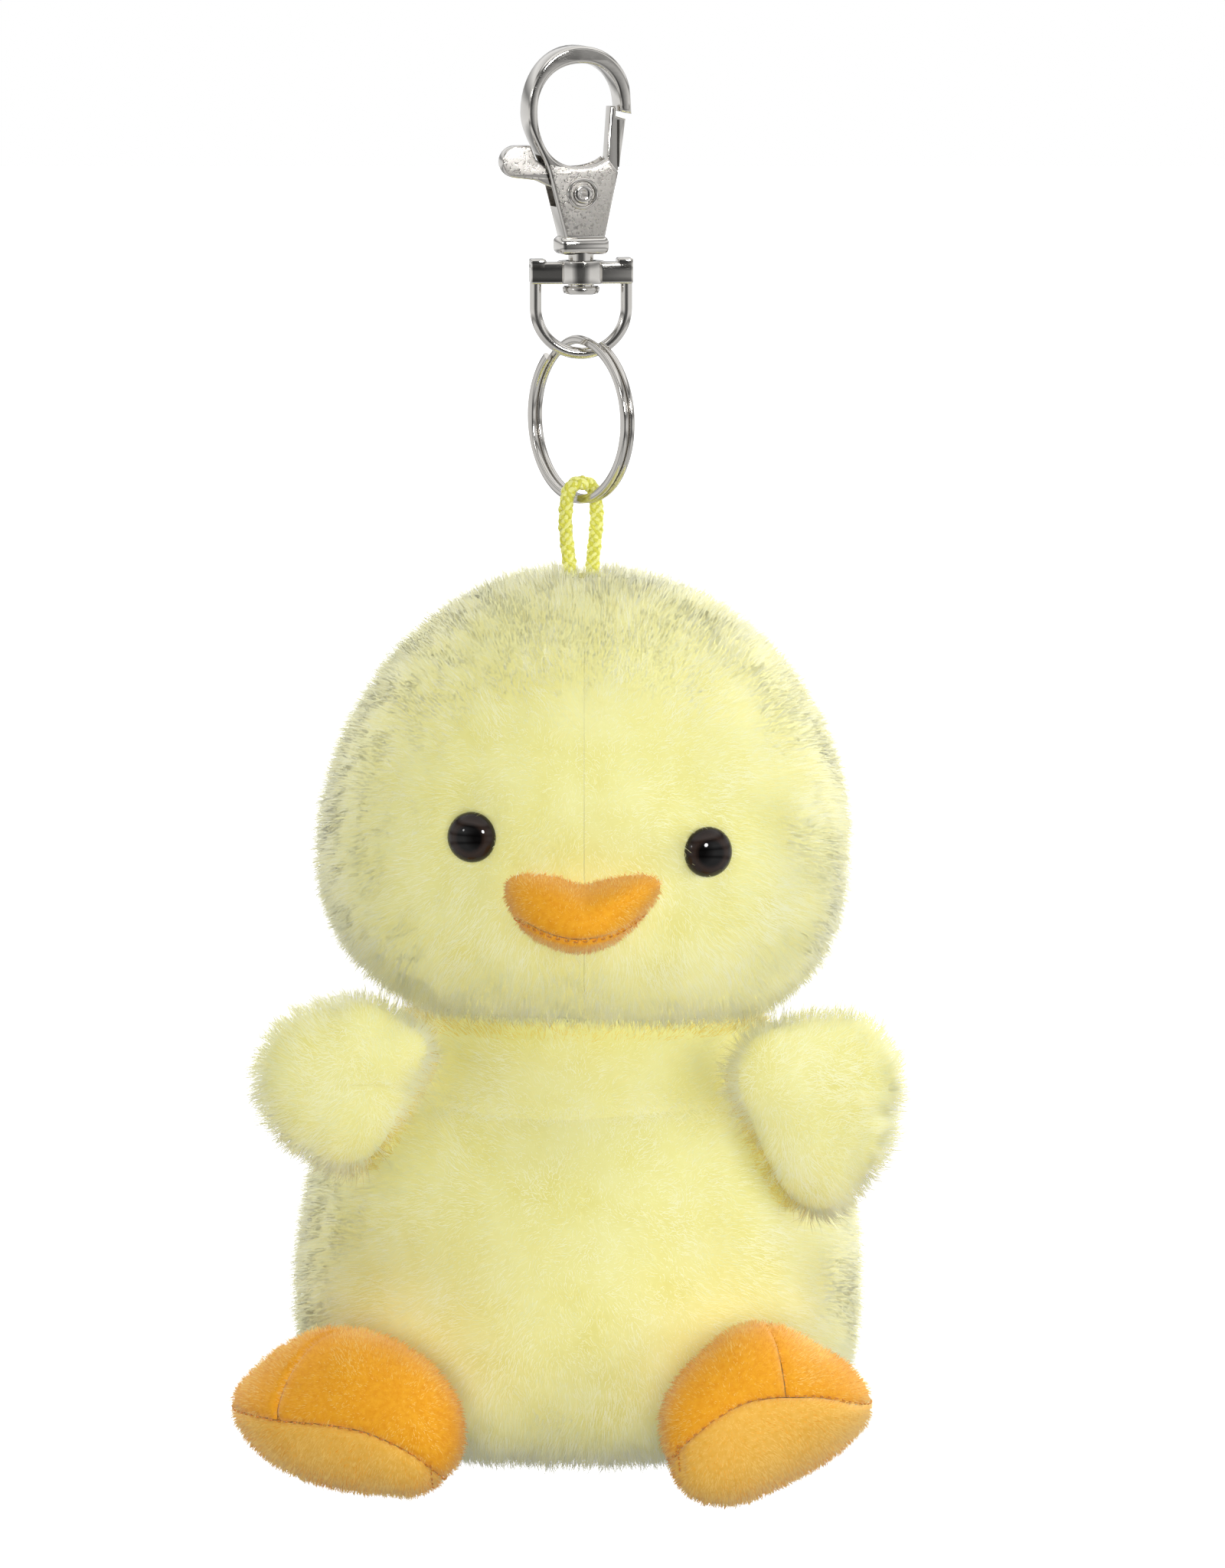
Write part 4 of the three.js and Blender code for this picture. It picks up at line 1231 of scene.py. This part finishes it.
def plate(mesh, is_cast):
    """Bright plating, with a cast finish on the flat faces that is_cast picks by their place."""
    mesh.materials.clear()
    for material in (bright_nickel, cast_nickel):
        mesh.materials.append(material)
    front = CLASP_TURN @ np.array([0, -1, 0])
    for polygon in mesh.polygons:
        flat = abs(np.dot(np.array(polygon.normal), front)) > 0.97
        polygon.material_index = int(flat and is_cast(np.array(polygon.center) / MM))
    return mesh


def fitting(name, mesh, body, replaces, materials=(bright_nickel,)):
    """A piece of plated hardware."""
    new_object(name, mesh, body, (replaces,), materials)


def clasp():
    hook = rounded_plate(HOOK_OUTLINE, depth=4, edge=0.42, frame_turn=CLASP_TURN)
    hook = cut(hook, [cavity_mesh(), rivet_hole()])
    collar = box_mesh((-3.1, -2.1, -23.1), (3.1, 2.1, -20.9), CLASP_TURN, edge=0.75)
    collar = cut(collar, [rod_mesh(1.85, -25, -21.3, CLASP_TURN, 32)])
    rings = []
    for y in (-2.02, 2.02):
        angles = np.linspace(0, 2 * math.pi, 49)
        line = [PIVOT[0] + 1.72 * np.cos(angles), np.full(49, y), PIVOT[2] + 1.72 * np.sin(angles)]
        ring = sweep(np.stack(line, axis=1), (0, 1, 0), circle_section(0.3, 0.26, 12), False)
        rings.append(turned(ring, CLASP_TURN))
    whole = soften(join_meshes("clasp_hook", [hook, collar, *rings]))
    fitting("clasp_hook", plate(whole, lambda place: -20.8 < place[2] < -12.3), "clasp", "hook_body", ())

    outline = [
        (3.4, -5.3), (4.1, -5.3), (4.15, -6.5), (5.35, -6.85), (4.5, -13), (2.2, -14.4),
        *arc((PIVOT[0], PIVOT[2]), 1.95, 20, -95), (-2.2, -17.2), (-2.6, -15.6), (-5.8, -14.1),
        *arc((-8.2, -11.85), 1.95, 270, 90),
        (-6.6, -9.9), (-5.9, -11.6), (-3.6, -13.1), (-1.4, -13.9), (1, -13.9), (2.9, -12.5),
    ]
    channels = [
        box_mesh((3.75, low, -12.9), (4.55, high, -6.9), CLASP_TURN)
        for low, high in ((-1.4, -0.45), (0.45, 1.4))
    ]
    lever = rounded_plate(outline, depth=2, edge=0.22, frame_turn=CLASP_TURN)
    lever = soften(cut(lever, [*channels, rivet_hole()]))
    fitting("clasp_lever", plate(lever, lambda place: place[0] < -4.6), "trigger", "trigger_lever", ())

    bore, radius, end, rim, head = 0.45, 0.8, 2.32, 2.62, 1.15
    profile = [
        (bore, -rim + 0.1), (bore + 0.12, -rim), (head - 0.15, -rim), (head, -rim + 0.14),
        (head, -end), (radius, -end), (radius, end), (head, end), (head, rim - 0.14),
        (head - 0.15, rim), (bore + 0.12, rim), (bore, rim - 0.1), (bore, -rim + 0.1),
    ]
    rivet = turned(lathe(profile, 40, PIVOT, (0, 1, 0)), CLASP_TURN)
    fitting("clasp_rivet", soften(rivet, degrees=50), "clasp", "lever_rivet")

    profile = [
        (0, -27.95), (1.7, -27.95), (2.1, -27.8), (2.25, -27.5), (2.25, -27.15), (2.1, -26.97),
        (1.55, -26.95), (1.55, -21.5), (0, -21.5),
    ]
    fitting("swivel_pin", soften(lathe(profile, around=48), degrees=40), "clasp", "swivel_post")


def shackle():
    wire, bar_top, leg_top = 0.72, -24.05, -25.3
    straight = np.linspace(leg_top, SHACKLE_BEND_Z, 12)[:-1]
    line = [(-SHACKLE_HALF_WIDTH, 0, z) for z in straight]
    for a in np.linspace(math.pi, 2 * math.pi, 72):
        z = SHACKLE_BEND_Z + SHACKLE_HALF_WIDTH * math.sin(a)
        line.append((SHACKLE_HALF_WIDTH * math.cos(a), 0, z))
    line += [(SHACKLE_HALF_WIDTH, 0, z) for z in straight[::-1]]
    legs = turned(sweep(np.array(line), (0, 1, 0), circle_section(0.8, wire, 20)), SHACKLE_TURN)
    end = SHACKLE_HALF_WIDTH + wire

    def block(left, right, down, up, edge):
        low, high = (left, -1.5, bar_top - down), (right, 1.5, bar_top + up)
        return box_mesh(low, high, SHACKLE_TURN, edge)

    def hole():
        return rod_mesh(1.85, bar_top - 4, bar_top + 2, SHACKLE_TURN, 40)

    ears = [block(-end, -end + 1.9, 0.9, 0.4, 0.25), block(end - 1.9, end, 0.9, 0.5, 0.25)]
    bar = cut(block(-end, end, 2.6, 0, 0.28), [hole()])
    boss = cut(rod_mesh(2.85, bar_top - 2.6, bar_top + 0.15, SHACKLE_TURN, 56), [hole()])
    whole = soften(join_meshes("shackle_loop", [legs, bar, boss, *ears]), degrees=40)
    fitting("shackle_loop", whole, "shackle", "swivel_shackle")


def ring():
    """Two turns of flat wire, and the step where it crosses from one to the other."""
    outer, radial, axial, pitch = 10.2, 1.1, 0.75, 0.95
    centre_z = SHACKLE_BEND_Z - SHACKLE_HALF_WIDTH + 0.72 + 0.4 - (outer - radial)
    crossing, width, clear = RAD(100), RAD(50), RAD(6)
    first = crossing + width / 2 + clear
    angles = first + np.linspace(0, 4 * math.pi - width - 2 * clear, 260)
    share = np.clip((angles - (crossing + 2 * math.pi - width / 2)) / width, 0, 1)
    share = share * share * (3 - 2 * share)
    middle, squareness = outer - radial / 2, 3.2
    corners = []
    for k in range(20):
        c, s = math.cos(2 * math.pi * k / 20), math.sin(2 * math.pi * k / 20)
        size = (abs(c) ** squareness + abs(s) ** squareness) ** (-1 / squareness)
        corners.append((radial / 2 * c * size, axial / 2 * s * size))
    points = []
    for angle, level in zip(angles, share):
        for radial_part, axial_part in corners:
            distance, y = middle + radial_part, pitch * (level - 0.5) + axial_part
            points.append((distance * math.cos(angle), y, distance * math.sin(angle)))
    placed = np.array(points) @ turn("Z", RING_TURN).T + np.array([0, 0, centre_z])
    mesh = soften(mesh_from("ring_wire", placed, tube_faces(len(angles), len(corners), True)), degrees=50)
    new_object("ring_wire", mesh, "ring", ("split_ring",), [ring_steel])


# ---------------------------------------------------------------- sewn joins
def sleeve(name, rings, material, seed=None):
    """Cloth across a sewn join: a closed tube through ellipses, each a centre and two half axes.
    It has a pile of its own where a seed is given for it."""
    share = np.linspace(0, len(rings) - 1, 15)
    places, wide, deep = (
        along_line(np.array([ring[k] for ring in rings]), range(len(rings)), share) for k in range(3)
    )
    angles = np.linspace(0, 2 * math.pi, 97)
    offset = wide * np.cos(angles)[:, None, None] + deep * np.sin(angles)[:, None, None]
    outer = places + offset
    inner = outer - unit(offset) * 0.6
    points = np.concatenate([outer.reshape(-1, 3), inner.reshape(-1, 3)])
    mesh = mesh_from(name, points, shell_faces(*outer.shape[:2]))

    def join(piece):
        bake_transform(piece)

    join(new_object(name, mesh, None, (), [material]))
    if seed:
        rng = np.random.default_rng(seed)
        places, normal = scatter(outer, places.mean(axis=0), FUR_DENSITY, rng)
        # Joins get more of the warm tone than the even mix, and fibres in the folds the deep one: both
        # painted shade of the fold.
        fur(
            f"{name}_pile", places, normal, rng, join, weights=[0.25, 0.35, 0.3, 0.1],
            crease=in_chin_fold(places) | beside_wing(places),
        )


def sewn_joins():
    # Half width, half depth and height, from inside the chin down to the shoulders' slope
    sizes = [
        (18.2, 16.5, -114.2), (20.2, 17.7, -115.3), (21.7, 18.7, -116.5), (23.0, 19.6, -118.0),
        (24.3, 20.5, -120.0), (25.4, 21.4, -122.0), (26.4, 22.2, -124.0), (27.0, 22.5, -126.4),
    ]
    middles = np.linspace((0.3, -0.1), (-0.3, 0.75), len(sizes))
    rings = [
        (np.array([x, y, z]), (half_x, 0, 0), (0, half_y, 0))
        for (x, y), (half_x, half_y, z) in zip(middles, sizes)
    ]
    sleeve("neck_join", rings, pile_mass, seed=700)
    for side, (place, axis) in WING_HINGES.items():
        place, axis = np.array(place), unit(axis)
        outward = WINGS[side]["centre"] - place
        outward = unit(outward - axis * (outward @ axis))
        across = unit(np.cross(axis, outward))
        half = 8.4 if side == "left" else 9.4
        rings = [
            (place - outward * 3.2 + np.array([0, 1.4, 0]), axis * half, across * 2.6),
            (place - outward * 0.6, axis * half, across * 2.4),
            (place + outward * 2.8, axis * half, across * 2.8),
        ]
        sleeve(
            f"wing_{side}_join",
            rings, crease_cloth, seed=710,
        )
    for side, place in FOOT_HINGES.items():
        place = np.array(place)
        frame_turn = turn("Z", RAD(-24 if side == "left" else 24))
        back = frame_turn @ np.array([0, 1, 0])
        across = frame_turn @ np.array([1, 0, 0])
        rings = [
            (place + back * 2.6, across * 5.6, (0, 0, 5.0)),
            (place, across * 5.4, (0, 0, 4.8)),
            (place - back * 2.2, across * 5.6, (0, 0, 5.0)),
        ]
        sleeve(
            f"foot_{side}_join",
            rings, velour,
        )


# ---------------------------------------------------------------- stitching
def stitches(name, line, centre, count, length, body):
    """Short rounded stitches in a row along a line round a form's centre."""
    distance, outward, thick = distances(line), line - centre, 0.2
    meshes = []
    for place in (np.arange(count) + 0.5) / count * distance[-1]:
        middle = along_line(line, distance, place)
        normal = unit(along_line(outward, distance, place))
        along = unit(along_line(line, distance, place + 0.2) - middle + 1e-9)
        spine = [
            middle + along * length * (t - 0.5) + normal * thick * 0.7 * math.sin(math.pi * t)
            for t in np.linspace(0.04, 0.96, 6)
        ]
        meshes.append(sweep(np.array(spine), normal, circle_section(thick / 2, thick / 2, 6)))
    new_object(name, join_meshes(name, meshes), body, (), [stitch_thread])


# ---------------------------------------------------------------- studio
MIDDLE = Vector((0, 0, -0.11))


def add_light(name, direction, distance, width, brightness):
    """A round light aimed at the duckling. Brightness is that of a white surface facing it."""
    light = bpy.data.lights.new(name, "AREA")
    light.shape = "DISK"
    light.size = width
    light.energy = brightness * (math.pi * distance) ** 2
    holder = in_scene(name, light)
    toward = Vector(direction).normalized()
    holder.location = MIDDLE + toward * distance
    holder.rotation_euler = toward.to_track_quat("Z", "Y").to_euler()
    holder.visible_camera = False
    return holder


# Each soft light's direction from the duckling, and how bright a white surface facing it becomes
SOFT_LIGHTS = {
    "front": ((0, -1, 0.05), 0.71),
    "right_front": ((0.9, -0.5, 0), 0.25),
    "right": ((0.97, -0.1, 0.2), 0.3),
    "left": ((-0.97, -0.1, 0.2), 0.17),
    "top": ((0.1, -0.15, 1), 0.42),
    "low": ((-0.3, -0.45, -0.8), 0.24),
    "back_left": ((-0.65, 0.75, 0.3), 0.7),
    "back_right": ((0.65, 0.75, 0.3), 0.8),
}
# Each small light's direction, width and brightness. They show in the eyes and the metal only
CATCH_LIGHTS = {
    "catch_light": ((0.3, -0.85, 0.34), 0.2, 0.45),
    "small_catch_light": ((-0.75, -0.6, 0.35), 0.1, 0.04),
}
# What glossy surfaces see of the studio: its brightness at heights from the nadir to the zenith,
# and how much of that is left on the camera's side, which is dark
BANDS = [
    (0.0, 0.5), (0.30, 0.8), (0.36, 0.25), (0.42, 0.9), (0.50, 0.8), (0.54, 0.25), (0.62, 1.0),
    (0.72, 0.7), (0.78, 0.1), (0.88, 1.3), (1.0, 0.9),
]
DARK_SIDE = [(0.02, 0.12), (0.16, 1.0)]


def white_floor():
    """A plain white ground below the picture, which lights nothing."""
    size, level = 30.0, -1.7
    mesh = bpy.data.meshes.new("floor")
    corners = [(-size, -size, level), (size, -size, level), (size, size, level), (-size, size, level)]
    mesh.from_pydata(corners, [], [(0, 1, 2, 3)])
    floor = in_scene("floor", mesh)
    material, tree, shader = new_material("floor_white")
    mottle = colour_ramp(tree, noise(tree, 3, 2), [(0.0, grey(0.9)), (1.0, grey(0.94))])
    tree.links.new(mottle, shader.inputs["Base Color"])
    set_inputs(shader, Roughness=0.9, Specular_IOR_Level=0.0)
    set_inputs(shader, Emission_Color=grey(1), Emission_Strength=1.5)
    mesh.materials.append(material)
    floor.visible_diffuse = False
    floor.visible_glossy = False


def studio_world():
    """Soft surfaces get no light from it, glossy ones see its bands, and the camera sees white."""
    world = bpy.data.worlds.new("studio")
    bpy.context.scene.world = world
    world.use_nodes = True
    tree = world.node_tree
    tree.nodes.clear()
    link = tree.links.new
    rays = tree.nodes.new("ShaderNodeLightPath")
    place = tree.nodes.new("ShaderNodeTexCoord")
    split = tree.nodes.new("ShaderNodeSeparateXYZ")
    link(place.outputs["Generated"], split.inputs["Vector"])

    def levels_along(axis, levels):
        share = node(tree, "ShaderNodeMapRange", From_Min=-1, From_Max=1)
        link(split.outputs[axis], share.inputs["Value"])
        stops = [(position, grey(level)) for position, level in levels]
        return colour_ramp(tree, share.outputs["Result"], stops)

    def background(strength):
        return node(tree, "ShaderNodeBackground", Color=grey(1), Strength=strength)

    def mixed(ray, otherwise, seen):
        mix = tree.nodes.new("ShaderNodeMixShader")
        for socket, source in enumerate((rays.outputs[ray], otherwise, seen)):
            link(source, mix.inputs[socket])
        return mix.outputs["Shader"]

    both = tree.nodes.new("ShaderNodeVectorMath")
    both.operation = "MULTIPLY"
    link(levels_along("Z", BANDS), both.inputs[0])
    link(levels_along("Y", DARK_SIDE), both.inputs[1])
    shiny = background(1.0)
    link(both.outputs["Vector"], shiny.inputs["Color"])
    surface = mixed("Is Glossy Ray", background(0.0).outputs[0], shiny.outputs[0])
    surface = mixed("Is Camera Ray", surface, background(1.0).outputs[0])
    link(surface, tree.nodes.new("ShaderNodeOutputWorld").inputs["Surface"])


def studio():
    white_floor()
    studio_world()
    for name, (direction, brightness) in SOFT_LIGHTS.items():
        light = add_light(name, direction, distance=1.5, width=1.0, brightness=brightness)
        light.visible_glossy = False
        light.data.cycles.use_multiple_importance_sampling = False
    for name, (direction, width, brightness) in CATCH_LIGHTS.items():
        light = add_light(name, direction, distance=1.0, width=width, brightness=brightness)
        light.visible_diffuse = False
    bpy.context.scene.view_settings.view_transform = "Standard"


# ---------------------------------------------------------------- build
cord()
clasp()
shackle()
ring()
head_panels()
torso_panels()
wings()
feet()
bill()
tail()
eyes()
sewn_joins()
hidden = {f"{name}_stuffing": filling for name in (
    "head", "torso", "bill", "wing_left", "wing_right", "foot_left", "foot_right",
)}
hidden |= {"trigger_spring": ring_steel, "cord_knot": cord_tones[0]}
hidden |= {"eye_washer_left": washer, "eye_washer_right": washer}
for name, material in hidden.items():
    for material_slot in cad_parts[name].material_slots:
        material_slot.material = material
studio()
